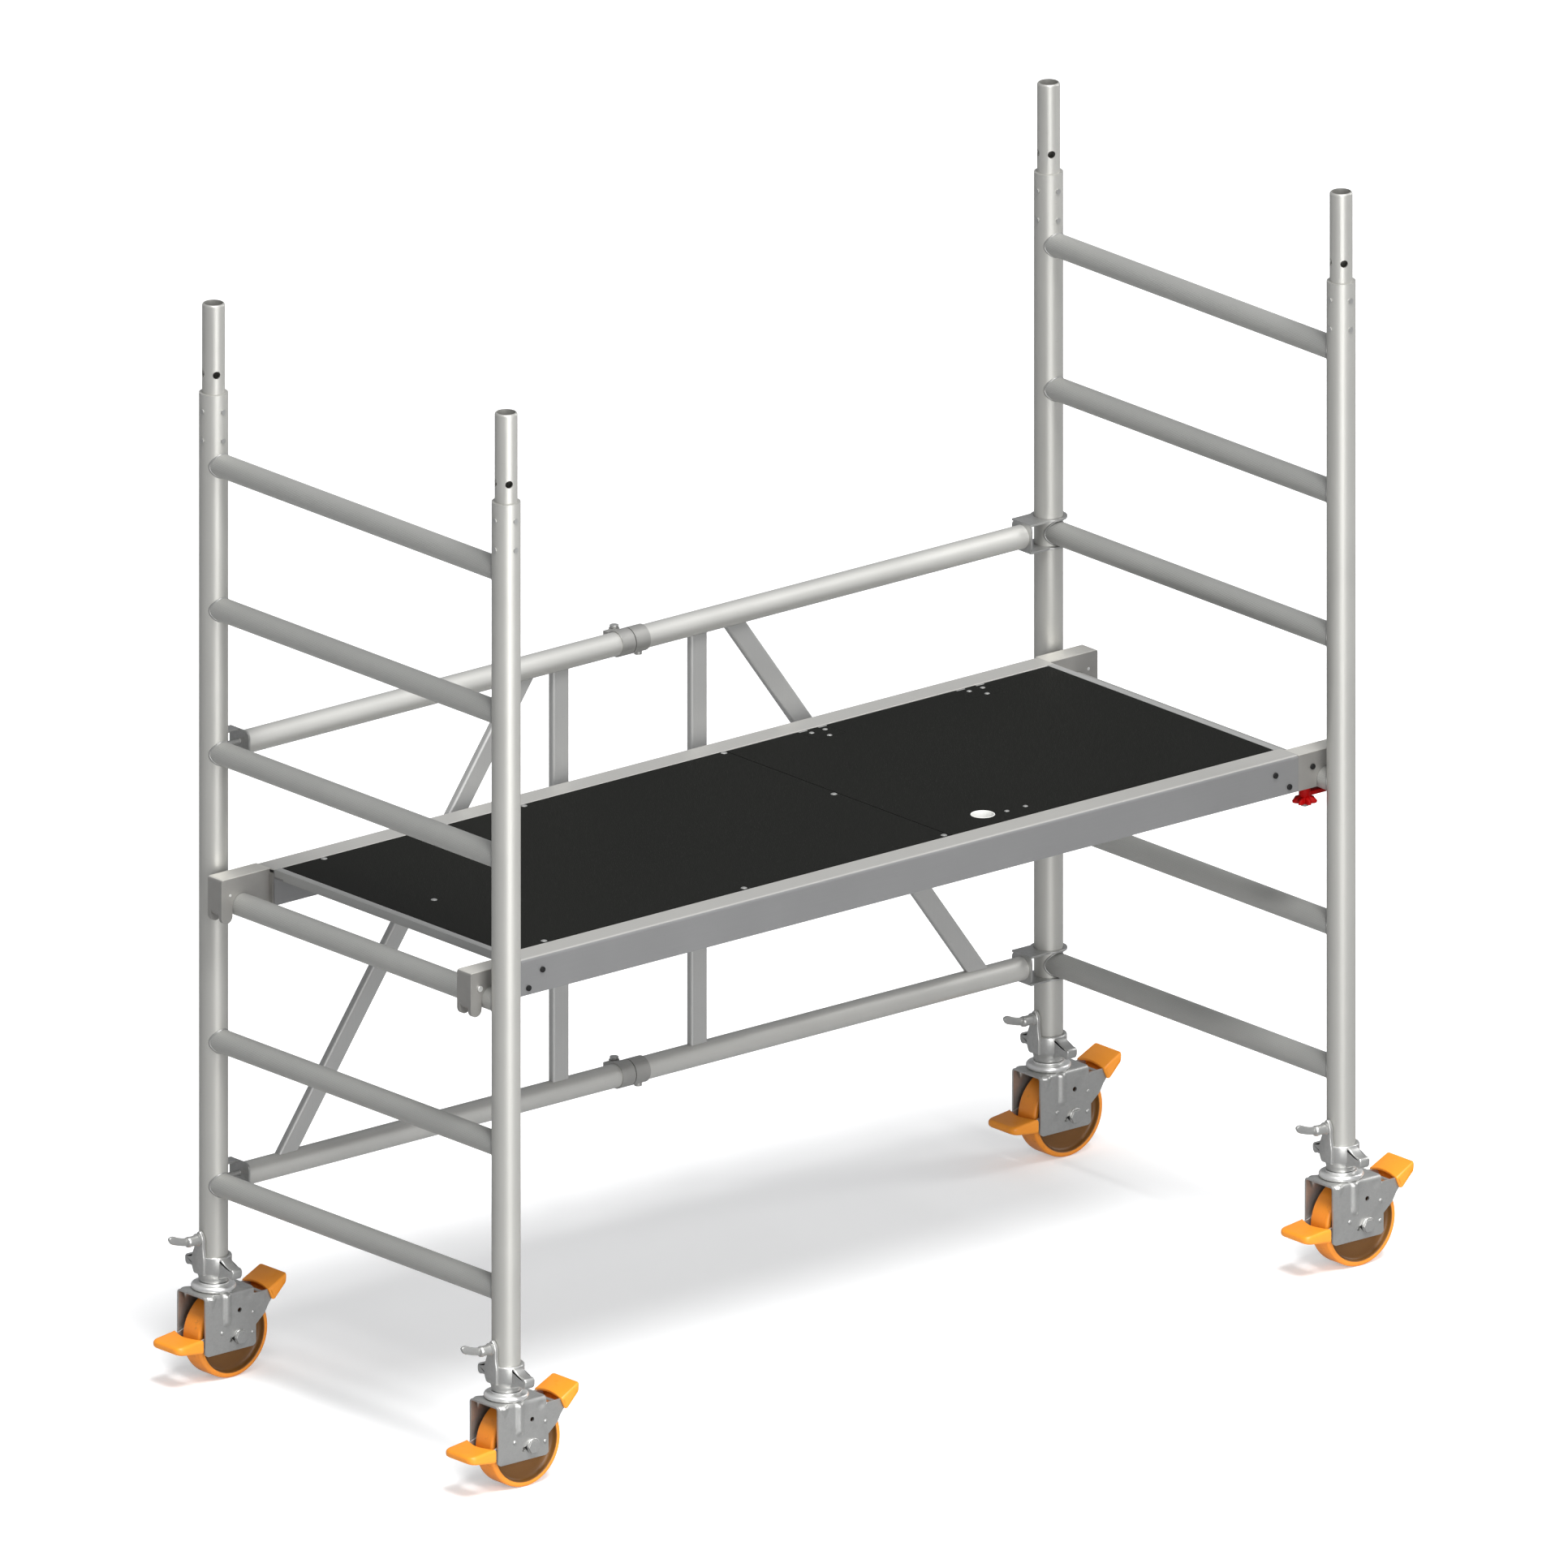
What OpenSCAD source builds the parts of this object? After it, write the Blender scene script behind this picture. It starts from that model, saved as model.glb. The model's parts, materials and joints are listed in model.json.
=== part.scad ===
// Rolling baker scaffold: two ladder end frames, a folding back brace, a hatch deck
// hooked on the rungs and four braked castors. X runs along the bay, Y across it from
// front (negative) to back, Z up. The origin is on the ground in the middle of the bay.

/* [Bay] */
// Length of the bay, from upright centre to upright centre
bay_l = 1800; // [1500:20:2400]
// Width of an end frame, from upright centre to upright centre
bay_w = 750; // [620:5:950]
// Height of the tops of the uprights above the ground
frame_top = 1713; // [1300:1:2300]

/* [Uprights and rungs] */
// Outer diameter of an upright
upright_d = 48.3; // [42:0.1:60]
// Wall of an upright
upright_wall = 3; // [2:0.1:4]
// Outer diameter of a rung and of a brace tube
rung_d = 40; // [32:0.1:46]
// Wall of the rungs and of the brace tubes
rung_wall = 2; // [1.5:0.1:3]
// Height of the lowest rung's centre
first_rung = 340; // [320:1:400]
// Spacing of the rungs
rung_pitch = 250; // [230:1:300]
// Least height left between the highest rung and the top of the upright
top_margin = 100; // [60:5:200]

/* [Spigots] */
// Outer diameter of a spigot
spigot_d = 38; // [32:0.1:41]
// Height of a spigot above its upright
spigot_rise = 155; // [100:5:200]
// Length of spigot held inside the upright
spigot_hold = 150; // [100:5:200]
// Diameter of the locking holes through a spigot
lock_hole_d = 13; // [8:0.5:16]
// Height of the locking holes above the upright
lock_hole_rise = 34; // [20:1:60]
// Diameter of the heads of the spigot rivets
spigot_rivet_head = 9; // [6:0.5:12]

/* [Back brace] */
// Rung that the brace's top tubes are level with, counted from 0
brace_rung = 3; // [2:1:3]
// Offset of the middle hinge from the middle of the bay
hinge_x = -7; // [-20:1:20]
// Width of a brace bar, seen from the front
bar_w = 35; // [25:1:45]
// Depth of a brace bar, from front to back
bar_t = 14; // [10:1:20]
// Distance of each post from the middle hinge
post_x = 149; // [110:1:200]
// Distance of the top of each diagonal from the middle hinge
diag_top_x = 215; // [200:1:300]
// Distance of the foot of each diagonal from its upright
diag_foot_x = 143; // [120:1:200]

/* [Deck] */
// Rung that the deck hangs on, counted from 0
deck_rung = 2; // [2:1:2]
// Height of the deck's surface above the centre of its rung
deck_rise = 51; // [46:1:60]
// Distance from an upright's face to the outer face of the deck rail
deck_side_gap = 14; // [8:1:30]
// Width of a deck rail
rail_w = 47; // [40:1:60]
// Height of a deck rail
rail_h = 63; // [55:1:80]
// Wall of a deck rail
rail_wall = 2.5; // [2:0.1:3.5]
// Distance from a rung's centre to the end of a deck rail
rail_end_gap = 60; // [50:1:80]
// Thickness of the deck panels
panel_t = 12; // [9:0.5:16]
// Distance of the seam between the two panels from the middle of the bay
seam_x = 130; // [50:5:200]
// Diameter of the finger hole in the hatch
finger_hole_d = 40; // [25:1:50]
// Width of a claw
claw_w = 35; // [25:1:40]
// Thickness of a claw's outer lip
claw_lip = 24; // [16:1:30]

/* [Castors] */
// Diameter of a wheel
wheel_d = 150; // [120:1:185]
// Width of a wheel's tread
wheel_w = 44; // [36:1:48]
// Distance of the wheel's axle from the swivel axis
trail = 25; // [15:1:30]
// Diameter of an axle
axle_d = 12; // [10:1:16]
// Width of a fork over its two cheeks
fork_w = 73; // [70:1:84]
// Thickness of a fork's sheet
fork_t = 3.5; // [2.5:0.1:4.5]
// Diameter of the ball race on top of a fork
race_d = 75; // [60:1:90]
// Diameter of the king pin
king_d = 16; // [12:1:20]

/* [Hidden] */

$fn = 48;
// Radial clearance of a turning fit
run_gap = 0.05;
// Clearance between pieces that are assembled and do not turn
fit_gap = 0.1;
// Gap left at a welded or coped end
weld_gap = 0.2;
// Gap under and beside a piece that rests or swings close to another
rest_gap = 0.3;
// Overshoot of a cutting tool past a face
over = 5;

aluminium = [0.75, 0.75, 0.73];
zinc = [0.65, 0.65, 0.63];
black_film = [0.15, 0.15, 0.14];
orange = [1.0, 0.66, 0.21];
brown_orange = [0.85, 0.55, 0.18];
red = [0.69, 0.0, 0.0];
black = [0.08, 0.08, 0.08];

upright_r = upright_d / 2;
upright_ir = upright_r - upright_wall;
rung_r = rung_d / 2;
corners = [[-1, -1], [-1, 1], [1, -1], [1, 1]];
rung_count = floor((frame_top - top_margin - first_rung) / rung_pitch) + 1;
function rung_z(i) = first_rung + i * rung_pitch;
function corner_at(i) = [corners[i][0] * bay_l / 2, corners[i][1] * bay_w / 2, 0];

// Castor heights above the ground, from the wheel up
wheel_r = wheel_d / 2;
crown_z = wheel_d + 2.5;
race_z = crown_z + fork_t;
race_h = 14;
collar_z = race_z + race_h + rest_gap;
cup_floor = collar_z + 11;
cup_top = collar_z + 46;

// Deck heights and widths
deck_z = rung_z(deck_rung) + deck_rise;
rail_out_y = bay_w / 2 - upright_r - deck_side_gap;
rail_in_y = rail_out_y - rail_w;
rail_end_x = bay_l / 2 - rail_end_gap;
panel_z = deck_z - panel_t;
ledge_t = 3;
ledge_w = 22;
end_beam_w = 14;
end_beam_h = panel_t + ledge_t;
panel_gap = 1.5;
panel_end_x = rail_end_x - end_beam_w - panel_gap / 2;

// Extrudes a profile drawn as (y, z) along X, from x0 to x1
module along_x(x0, x1) {
  translate([x0, 0, 0]) rotate([90, 0, 90]) linear_extrude(x1 - x0) children();
}

// Extrudes a profile drawn as (x, z) along Y, from y0 to y1
module along_y(y0, y1) {
  translate([0, y1, 0]) rotate([90, 0, 0]) linear_extrude(y1 - y0) children();
}

module rod_x(d, x0, x1) {
  translate([x0, 0, 0]) rotate([0, 90, 0]) cylinder(d = d, h = x1 - x0);
}

module rod_y(d, y0, y1) {
  translate([0, y1, 0]) rotate([90, 0, 0]) cylinder(d = d, h = y1 - y0);
}

module rod_z(d, z0, z1) {
  translate([0, 0, z0]) cylinder(d = d, h = z1 - z0);
}

module rounded(w, h, r) {
  square([w - 2 * r, h], center = true);
  square([w, h - 2 * r], center = true);
  for (sx = [-1, 1], sy = [-1, 1])
    translate([sx * (w / 2 - r), sy * (h / 2 - r)]) circle(r);
}

module at_corner(i) {
  translate(corner_at(i)) children();
}

// ---- End frames ----

rivet_shank_d = 4.8;
rivet_levels = [29.5, 80];

// Places its child at each spigot rivet of an upright, with +X pointing outwards
module at_spigot_rivets() {
  for (level = rivet_levels, a = [0:90:270])
    translate([0, 0, frame_top - level]) rotate([0, 0, a]) children();
}

module upright() {
  color(aluminium) difference() {
    rod_z(upright_d, cup_floor, frame_top);
    rod_z(2 * upright_ir, cup_floor - over, frame_top + over);
    at_spigot_rivets() rod_x(rivet_shank_d + 2 * fit_gap, 0, upright_d);
  }
}

module rungs(side) {
  color(aluminium) for (i = [0:rung_count - 1]) difference() {
    translate([side * bay_l / 2, 0, rung_z(i)]) rod_y(rung_d, -bay_w / 2, bay_w / 2);
    translate([side * bay_l / 2, 0, rung_z(i)])
      rod_y(rung_d - 2 * rung_wall, -bay_w / 2 - over, bay_w / 2 + over);
    for (sy = [-1, 1]) translate([side * bay_l / 2, sy * bay_w / 2, 0])
      rod_z(upright_d + 2 * weld_gap, first_rung - rung_d, frame_top);
  }
}

spigot_wall = 3;
spigot_ring_h = 40;
spigot_round = 4;
spigot_ring_r = upright_ir - fit_gap;
// The locking holes are turned away from the rungs
lock_turn = 24;

// A sleeve with two rings that fill the upright and a rounded open top
module spigot() {
  r = spigot_d / 2;
  z0 = frame_top - spigot_hold;
  z1 = frame_top + spigot_rise;
  difference() {
    union() {
      rod_z(spigot_d, z0, z1 - spigot_round);
      for (foot = [spigot_ring_h, rivet_levels[1] + spigot_ring_h / 2])
        translate([0, 0, frame_top - foot]) cylinder(r = spigot_ring_r, h = spigot_ring_h);
      translate([0, 0, z1 - spigot_round]) rotate_extrude()
        translate([r - spigot_round, 0]) intersection() {
          circle(spigot_round);
          square(spigot_round);
        }
      rod_z(spigot_d - 2 * spigot_round, z1 - spigot_round, z1);
    }
    rod_z(spigot_d - 2 * spigot_wall, z0 - over, z1 + over);
    for (a = [0, 90]) translate([0, 0, frame_top + lock_hole_rise])
      rotate([0, 0, a - lock_turn]) rod_x(lock_hole_d, -spigot_d, spigot_d);
    at_spigot_rivets() rod_x(rivet_shank_d + 2 * fit_gap, 0, upright_d);
  }
}

module spigots() {
  color(aluminium) for (i = [0:3]) at_corner(i) spigot();
}

// A pop rivet through the upright's wall and the spigot's ring, its head on the curve
module spigot_rivet() {
  head_h = 1.8;
  rod_x(rivet_shank_d, spigot_d / 2 - spigot_wall, upright_r);
  difference() {
    rod_x(spigot_rivet_head, upright_r - 1, upright_r + head_h);
    rod_z(upright_d, -spigot_rivet_head, spigot_rivet_head);
  }
}

module spigot_rivets() {
  color(zinc) for (i = [0:3]) at_corner(i) at_spigot_rivets() spigot_rivet();
}

// ---- Folding back brace ----

brace_top_z = rung_z(brace_rung);
brace_foot_z = rung_z(0);
brace_levels = [brace_foot_z, brace_top_z];
bracket_t = 3.5;
bracket_reach = 55;
bracket_x = bay_l / 2 - bracket_reach;
flange_gap = 2;
flange_r = upright_r + 7;
web_half = rung_r + flange_gap + bracket_t;
web_half_y = upright_r + 1;
web_round = 12;
stud_d = 10;
stud_rise = 4;
sleeve_l = 28;
sleeve_d = rung_d + 5;
slit = 1.6;
knuckle_y = 35;
knuckle_d = 18;
knuckle_h = 9;
hinge_pin_d = 8;

module brace_tube(side, level) {
  z = brace_levels[level];
  x_mid = hinge_x + side * slit / 2;
  x_end = side * (bracket_x - bracket_t);
  color(aluminium) translate([0, bay_w / 2, z]) difference() {
    rod_x(rung_d, min(x_mid, x_end), max(x_mid, x_end));
    rod_x(rung_d - 2 * rung_wall, min(x_mid, x_end) - over, max(x_mid, x_end) + over);
  }
}

module brace_tube_cuts() {
  for (z = brace_levels) translate([0, bay_w / 2, z])
    rod_x(rung_d + 2 * weld_gap, -bay_l / 2, bay_l / 2);
}

bar_round = 4;
bar_wall = 2;

module bar_profile() {
  difference() {
    rounded(bar_w, bar_t, bar_round);
    rounded(bar_w - 2 * bar_wall, bar_t - 2 * bar_wall, bar_round - bar_wall);
  }
}

module brace_posts() {
  color(aluminium) for (side = [-1, 1]) difference() {
    translate([hinge_x + side * post_x, bay_w / 2, brace_foot_z])
      linear_extrude(brace_top_z - brace_foot_z) bar_profile();
    brace_tube_cuts();
  }
}

module brace_diagonals() {
  rise = brace_top_z - brace_foot_z;
  color(aluminium) for (side = [-1, 1]) {
    top_x = hinge_x + side * diag_top_x;
    foot_x = side * (bay_l / 2 - diag_foot_x);
    run = foot_x - top_x;
    difference() {
      translate([foot_x, bay_w / 2, brace_foot_z]) rotate([0, -atan(run / rise), 0])
        translate([0, 0, -bar_w / 2]) linear_extrude(norm([run, rise]) + bar_w) bar_profile();
      brace_tube_cuts();
      for (end = [[brace_foot_z, -1], [brace_top_z, 1]])
        translate([0, bay_w / 2, end[0] + end[1] * (rung_d / 2 + bar_w)])
          cube([bay_l, 2 * bar_t, 2 * bar_w + rung_d], center = true);
    }
  }
}

// A plate across the tube's end with two flanges above and below the rung. They go right
// round a right-hand upright, but only hold the back of a left-hand one, where a stud joins
// the plate to the upright.
module upright_bracket(side) {
  web_x0 = bracket_x - bracket_t - bay_l / 2;
  for (s = [-1, 1]) translate([0, 0, s * (rung_r + flange_gap + bracket_t / 2) - bracket_t / 2])
    linear_extrude(bracket_t) scale([side, 1]) bracket_flange(side, web_x0);
  translate([side > 0 ? web_x0 : -web_x0 - bracket_t, 0, 0]) rotate([90, 0, 90])
    linear_extrude(bracket_t) rounded(2 * web_half_y, 2 * web_half, web_round);
  if (side < 0) translate([0, 0, stud_rise]) rod_x(stud_d, upright_r + rest_gap, -web_x0 - 1);
}

module bracket_flange(side, web_x0) {
  difference() {
    intersection() {
      union() {
        circle(flange_r);
        translate([web_x0, -web_half_y]) square([-web_x0, 2 * web_half_y]);
      }
      translate([web_x0, side > 0 ? -flange_r : flange_gap])
        square([side > 0 ? flange_r - web_x0 : -web_x0 + flange_gap, 2 * flange_r]);
    }
    circle(upright_r + rest_gap);
  }
}

module upright_brackets() {
  color(zinc) for (side = [-1, 1], z = brace_levels)
    translate([side * bay_l / 2, bay_w / 2, z]) upright_bracket(side);
}

// One half of a middle hinge: a sleeve round the tube's end with lugs to the pin behind
module hinge_fitting(side, lug_levels) {
  x0 = side > 0 ? slit / 2 : -sleeve_l;
  x1 = side > 0 ? sleeve_l + 3 : -slit / 2;
  difference() {
    union() {
      rod_x(sleeve_d, x0, x1);
      for (z = lug_levels) {
        translate([side > 0 ? x0 : x0 + 4, 0, z])
          cube([sleeve_l - 4 - slit / 2, knuckle_y, knuckle_h]);
        translate([0, knuckle_y, z]) cylinder(d = knuckle_d, h = knuckle_h);
      }
    }
    rod_x(rung_d + 2 * fit_gap, -bay_l / 2, bay_l / 2);
    translate([0, knuckle_y, -rung_d])
      cylinder(d = hinge_pin_d + 2 * run_gap, h = 2 * rung_d);
  }
}

module left_hinge_fittings() {
  color(aluminium) for (z = brace_levels) translate([hinge_x, bay_w / 2, z])
    hinge_fitting(-1, [knuckle_h / 2 + rest_gap, -3 * knuckle_h / 2 - rest_gap]);
}

module right_hinge_fittings() {
  color(aluminium) for (z = brace_levels) translate([hinge_x, bay_w / 2, z]) {
    hinge_fitting(1, [-knuckle_h / 2]);
    translate([sleeve_l - 6, 0, -sleeve_d / 2 - 5]) cylinder(d = 13, h = 7);
  }
}

module brace_hinge_pins() {
  grip = 3 * knuckle_h / 2 + 2 * rest_gap;
  color(zinc) for (z = brace_levels) translate([hinge_x, bay_w / 2 + knuckle_y, z]) {
    rod_z(hinge_pin_d, -grip - 5, grip);
    rod_z(15, grip, grip + 5);
    translate([0, 0, -grip - 6]) cylinder(d = 14, h = 5, $fn = 6);
  }
}

// ---- Deck ----

rail_round = 6;
rail_inner_round = 1.5;

// Box section with a rounded top edge outside and a ledge for the panels inside. The
// profile is drawn for the back rail, as (y, z).
module rail_profile() {
  translate([rail_in_y, deck_z - rail_h]) difference() {
    union() {
      square([rail_w, rail_h - rail_round]);
      translate([rail_inner_round, 0]) square([rail_w - rail_round - rail_inner_round, rail_h]);
      translate([rail_w - rail_round, rail_h - rail_round]) circle(rail_round);
      translate([0, rail_h - rail_round]) square([rail_round, rail_round - rail_inner_round]);
      translate([rail_inner_round, rail_h - rail_inner_round]) circle(rail_inner_round);
    }
    translate([rail_wall, rail_wall])
      square([rail_w - 2 * rail_wall, rail_h - rail_wall - rail_round]);
    translate([rail_wall, rail_h - rail_round - over])
      square([rail_w - rail_wall - rail_round, rail_round - rail_wall + over]);
  }
  translate([rail_in_y - ledge_w, panel_z - ledge_t]) square([ledge_w + rail_wall / 2, ledge_t]);
}

claw_bolt_d = 6;
claw_bolt_head = 10;
// Distances from the rung's centre to the bolts of a claw, and their heights above it
claw_bolts_at = [[110, 26], [80, 0], [30, 25]];
lip_bolt_at = [-25, 21];

// Places its child at each rail or claw bolt of one claw, with +Y pointing outwards
module at_claw_bolts(points) {
  for (p = points) translate([bay_l / 2 - p[0], 0, rung_z(deck_rung) + p[1]]) children();
}

module deck_rail(sy) {
  color(aluminium) scale([1, sy, 1]) difference() {
    along_x(-rail_end_x, rail_end_x) rail_profile();
    for (sx = [-1, 1]) scale([sx, 1, 1])
      at_claw_bolts([claw_bolts_at[0], claw_bolts_at[1]])
        rod_y(claw_bolt_d + 2 * fit_gap, rail_in_y + rail_w / 2, rail_out_y + over);
  }
}

// An upright plate with a foot under the panel's end, notched over the rails' ledges
module deck_end_beam() {
  x0 = rail_end_x - end_beam_w;
  difference() {
    union() {
      translate([x0, -rail_in_y, deck_z - end_beam_h]) cube([end_beam_w, 2 * rail_in_y, end_beam_h]);
      translate([x0 - ledge_w, -rail_in_y, panel_z - ledge_t])
        cube([ledge_w + 1, 2 * rail_in_y, ledge_t]);
    }
    translate([x0 + rail_wall, -rail_in_y - over, deck_z - end_beam_h - over])
      cube([end_beam_w - 2 * rail_wall, 2 * (rail_in_y + over), end_beam_h - rail_wall + over]);
    ledge_cuts();
  }
}

module ledge_cuts() {
  for (sy = [-1, 1]) scale([1, sy, 1])
    translate([-bay_l / 2, rail_in_y - ledge_w - weld_gap, panel_z - ledge_t])
      cube([bay_l, ledge_w + over, ledge_t]);
}

module deck_end_beams() {
  color(aluminium) for (sx = [-1, 1]) scale([sx, 1, 1]) deck_end_beam();
}

cross_beam_h = 30;
cross_beam_w = 40;
rivet_row_x = seam_x - 8;
beam_row_x = -rail_end_x + 100;

module deck_cross_beams() {
  color(aluminium) for (x = [beam_row_x, seam_x]) difference() {
    translate([x - cross_beam_w / 2, -rail_in_y, panel_z - cross_beam_h])
      cube([cross_beam_w, 2 * rail_in_y, cross_beam_h]);
    translate([x - cross_beam_w / 2 + rail_wall, -rail_in_y - over, panel_z - cross_beam_h + rail_wall])
      cube([cross_beam_w - 2 * rail_wall, 2 * (rail_in_y + over), cross_beam_h - 2 * rail_wall]);
    ledge_cuts();
  }
}

deck_rivet_d = 5;
deck_rivet_head = 11;
edge_rivet_y = rail_in_y - 8;
deck_rivets_at = [
  [beam_row_x, -edge_rivet_y], [beam_row_x, 0], [beam_row_x, edge_rivet_y],
  [rivet_row_x, -edge_rivet_y], [rivet_row_x, 0], [rivet_row_x, edge_rivet_y],
  [(beam_row_x + rivet_row_x) / 2, -edge_rivet_y], [(beam_row_x + rivet_row_x) / 2, edge_rivet_y]
];

module fixed_panel() {
  color(black_film) difference() {
    translate([-panel_end_x, -rail_in_y + panel_gap, panel_z])
      cube([panel_end_x + seam_x - panel_gap / 2, 2 * (rail_in_y - panel_gap), panel_t]);
    for (p = deck_rivets_at) translate([p[0], p[1], 0])
      rod_z(deck_rivet_d + 2 * fit_gap, panel_z - over, deck_z + over);
  }
}

// A low domed head of diameter d that stands h above z = 0
module dome(d, h) {
  r = (d * d / 4 + h * h) / (2 * h);
  rotate_extrude() intersection() {
    translate([0, h - r]) circle(r, $fn = 96);
    square([d, h]);
  }
}

module deck_rivets() {
  color(zinc) for (p = deck_rivets_at) translate([p[0], p[1], deck_z]) {
    dome(deck_rivet_head, 1.8);
    rod_z(deck_rivet_d, -panel_t, weld_gap);
  }
}

claw_gap = 0.4;

// Side view of a claw at the positive end, as (x, z). The lip ends lip_end below the rung's
// centre.
module claw_profile(lip_end) {
  z = rung_z(deck_rung);
  slot_r = rung_r + claw_gap;
  lip_x = bay_l / 2 + slot_r;
  lip_r = claw_lip / 2;
  top_round = 5;
  difference() {
    union() {
      translate([rail_end_x + weld_gap, deck_z - rail_h])
        square([lip_x - rail_end_x - weld_gap, rail_h]);
      translate([lip_x - 1, z - lip_end + lip_r])
        square([claw_lip + 1, deck_z - z + lip_end - lip_r - top_round]);
      translate([lip_x - 1, z]) square([claw_lip + 1 - top_round, deck_z - z]);
      translate([lip_x + claw_lip - top_round, deck_z - top_round]) circle(top_round);
      translate([lip_x + lip_r, z - lip_end + lip_r]) circle(lip_r);
    }
    translate([bay_l / 2, z]) circle(slot_r);
    translate([bay_l / 2 - slot_r, z - rail_h]) square([2 * slot_r, rail_h]);
  }
}

cheek_t = 7;
tongue_l = 90;
lock_x = bay_l / 2 - 32;
lock_bolt_d = 8;

// A cast hook over the rung, with a tongue that plugs into the rail
module claw() {
  y0 = rail_out_y - claw_w;
  tongue_w = rail_w - 2 * rail_wall - 2 * fit_gap;
  z = rung_z(deck_rung);
  difference() {
    union() {
      along_y(y0, rail_out_y) claw_profile(16);
      for (y = [y0, rail_out_y - cheek_t]) along_y(y, y + cheek_t) claw_profile(27);
      translate([rail_end_x - tongue_l, rail_in_y + rail_wall + fit_gap,
                 deck_z - rail_h + rail_wall + fit_gap])
        cube([tongue_l + 2, tongue_w, rail_h - rail_wall - rail_round - 2 * fit_gap]);
    }
    at_claw_bolts(claw_bolts_at)
      rod_y(claw_bolt_d + 2 * fit_gap, rail_in_y + rail_w / 2, rail_out_y + over);
    at_claw_bolts([lip_bolt_at]) rod_y(claw_bolt_d + 2 * fit_gap, y0 - over, rail_out_y + over);
    translate([lock_x, rail_out_y - claw_w / 2, z - rail_h])
      cylinder(d = lock_bolt_d + 2 * fit_gap, h = rail_h + 10);
  }
}

module claws() {
  color(aluminium) for (s = corners) scale([s[0], s[1], 1]) claw();
}

// A bolt whose head lies on the plane y = face and whose shank ends at y = y_end
module side_bolt(face, y_end, head_h) {
  rod_y(claw_bolt_d, y_end, face);
  rod_y(claw_bolt_head, face, face + head_h);
}

module claw_bolts() {
  color(black) for (s = corners) scale([s[0], s[1], 1]) {
    at_claw_bolts(claw_bolts_at) side_bolt(rail_out_y, rail_in_y + rail_w / 2, 3);
    at_claw_bolts([lip_bolt_at]) side_bolt(rail_out_y, rail_out_y - claw_w, 3);
  }
}

// ---- Hatch ----

barrel_r = 3.2;
pin_d = 3;
hatch_axis_y = rail_in_y - 4.3;
hatch_axis_z = deck_z - barrel_r;
hatch_back_y = hatch_axis_y - 0.2;
leaf_l = 60;
leaf_w = 50;
leaf_t = 2;
knuckle_l = 23;
hatch_x0 = seam_x + panel_gap / 2;
hatch_hinges_at = [hatch_x0 + 185, panel_end_x - 170];
finger_at = [seam_x + 111, -rail_in_y + 50];
catch_at = [seam_x + 173, -rail_in_y + 38];
screw_d = 4;
screw_head = 9;
leaf_screws_at = [[-15, -16], [14, -16], [0, -44]];
catch_screws_at = [[-20, 0], [20, 0]];

module at_hatch_hinges() {
  for (x = hatch_hinges_at) translate([x, hatch_axis_y, 0]) children();
}

module hatch_panel() {
  front_y = -rail_in_y + panel_gap;
  color(black_film) difference() {
    translate([hatch_x0, front_y, panel_z + rest_gap])
      cube([panel_end_x - hatch_x0, hatch_back_y - front_y, panel_t - rest_gap]);
    translate([finger_at[0], finger_at[1], 0]) rod_z(finger_hole_d, panel_z - over, deck_z + over);
    at_hatch_hinges() {
      translate([-leaf_l / 2 - rest_gap, -barrel_r - rest_gap, panel_z - over])
        cube([leaf_l + 2 * rest_gap, leaf_w, panel_t + 2 * over]);
      translate([-leaf_l / 2 - rest_gap, -leaf_w - rest_gap, deck_z - leaf_t])
        cube([leaf_l + 2 * rest_gap, leaf_w, leaf_t + over]);
      for (p = leaf_screws_at) translate([p[0], p[1], 0])
        rod_z(screw_d + 2 * fit_gap, panel_z - over, deck_z + over);
    }
    for (p = catch_screws_at) translate([catch_at[0] + p[0], catch_at[1] + p[1], 0])
      rod_z(screw_d + 2 * fit_gap, panel_z - over, deck_z + over);
  }
}

// The moving halves: a plate let into the hatch and the middle knuckle
module hatch_hinge_flaps() {
  color(black) at_hatch_hinges() difference() {
    union() {
      translate([-leaf_l / 2, -leaf_w, deck_z - leaf_t])
        cube([leaf_l, leaf_w - barrel_r - rest_gap, leaf_t]);
      translate([-knuckle_l / 2, -barrel_r - 1, deck_z - leaf_t])
        cube([knuckle_l, barrel_r + 1, leaf_t]);
      translate([0, 0, hatch_axis_z]) rod_x(2 * barrel_r, -knuckle_l / 2, knuckle_l / 2);
    }
    translate([0, 0, hatch_axis_z]) rod_x(pin_d + 2 * run_gap, -leaf_l, leaf_l);
    for (p = leaf_screws_at) translate([p[0], p[1], 0])
      rod_z(screw_d + 2 * fit_gap, panel_z - over, deck_z + over);
  }
}

// The fixed halves: a plate on the rail's ledge, against its inner wall, and two knuckles
module hatch_hinge_leaves() {
  back = rail_in_y - hatch_axis_y;
  color(zinc) at_hatch_hinges() difference() {
    union() {
      translate([-leaf_l / 2, back - leaf_t, panel_z])
        cube([leaf_l, leaf_t, hatch_axis_z - panel_z]);
      for (x = [-leaf_l / 2, knuckle_l / 2 + rest_gap]) translate([0, 0, hatch_axis_z])
        rod_x(2 * barrel_r, x, x + (leaf_l - knuckle_l) / 2 - rest_gap);
    }
    translate([0, 0, hatch_axis_z]) rod_x(pin_d + 2 * fit_gap, -leaf_l, leaf_l);
    translate([-knuckle_l / 2 - rest_gap, back - 2 * leaf_t, hatch_axis_z - barrel_r - 2 * rest_gap])
      cube([knuckle_l + 2 * rest_gap, 3 * leaf_t, 2 * barrel_r + over]);
  }
}

module hatch_hinge_pins() {
  color(zinc) at_hatch_hinges()
    translate([0, 0, hatch_axis_z]) rod_x(pin_d, -leaf_l / 2, leaf_l / 2);
}

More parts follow.
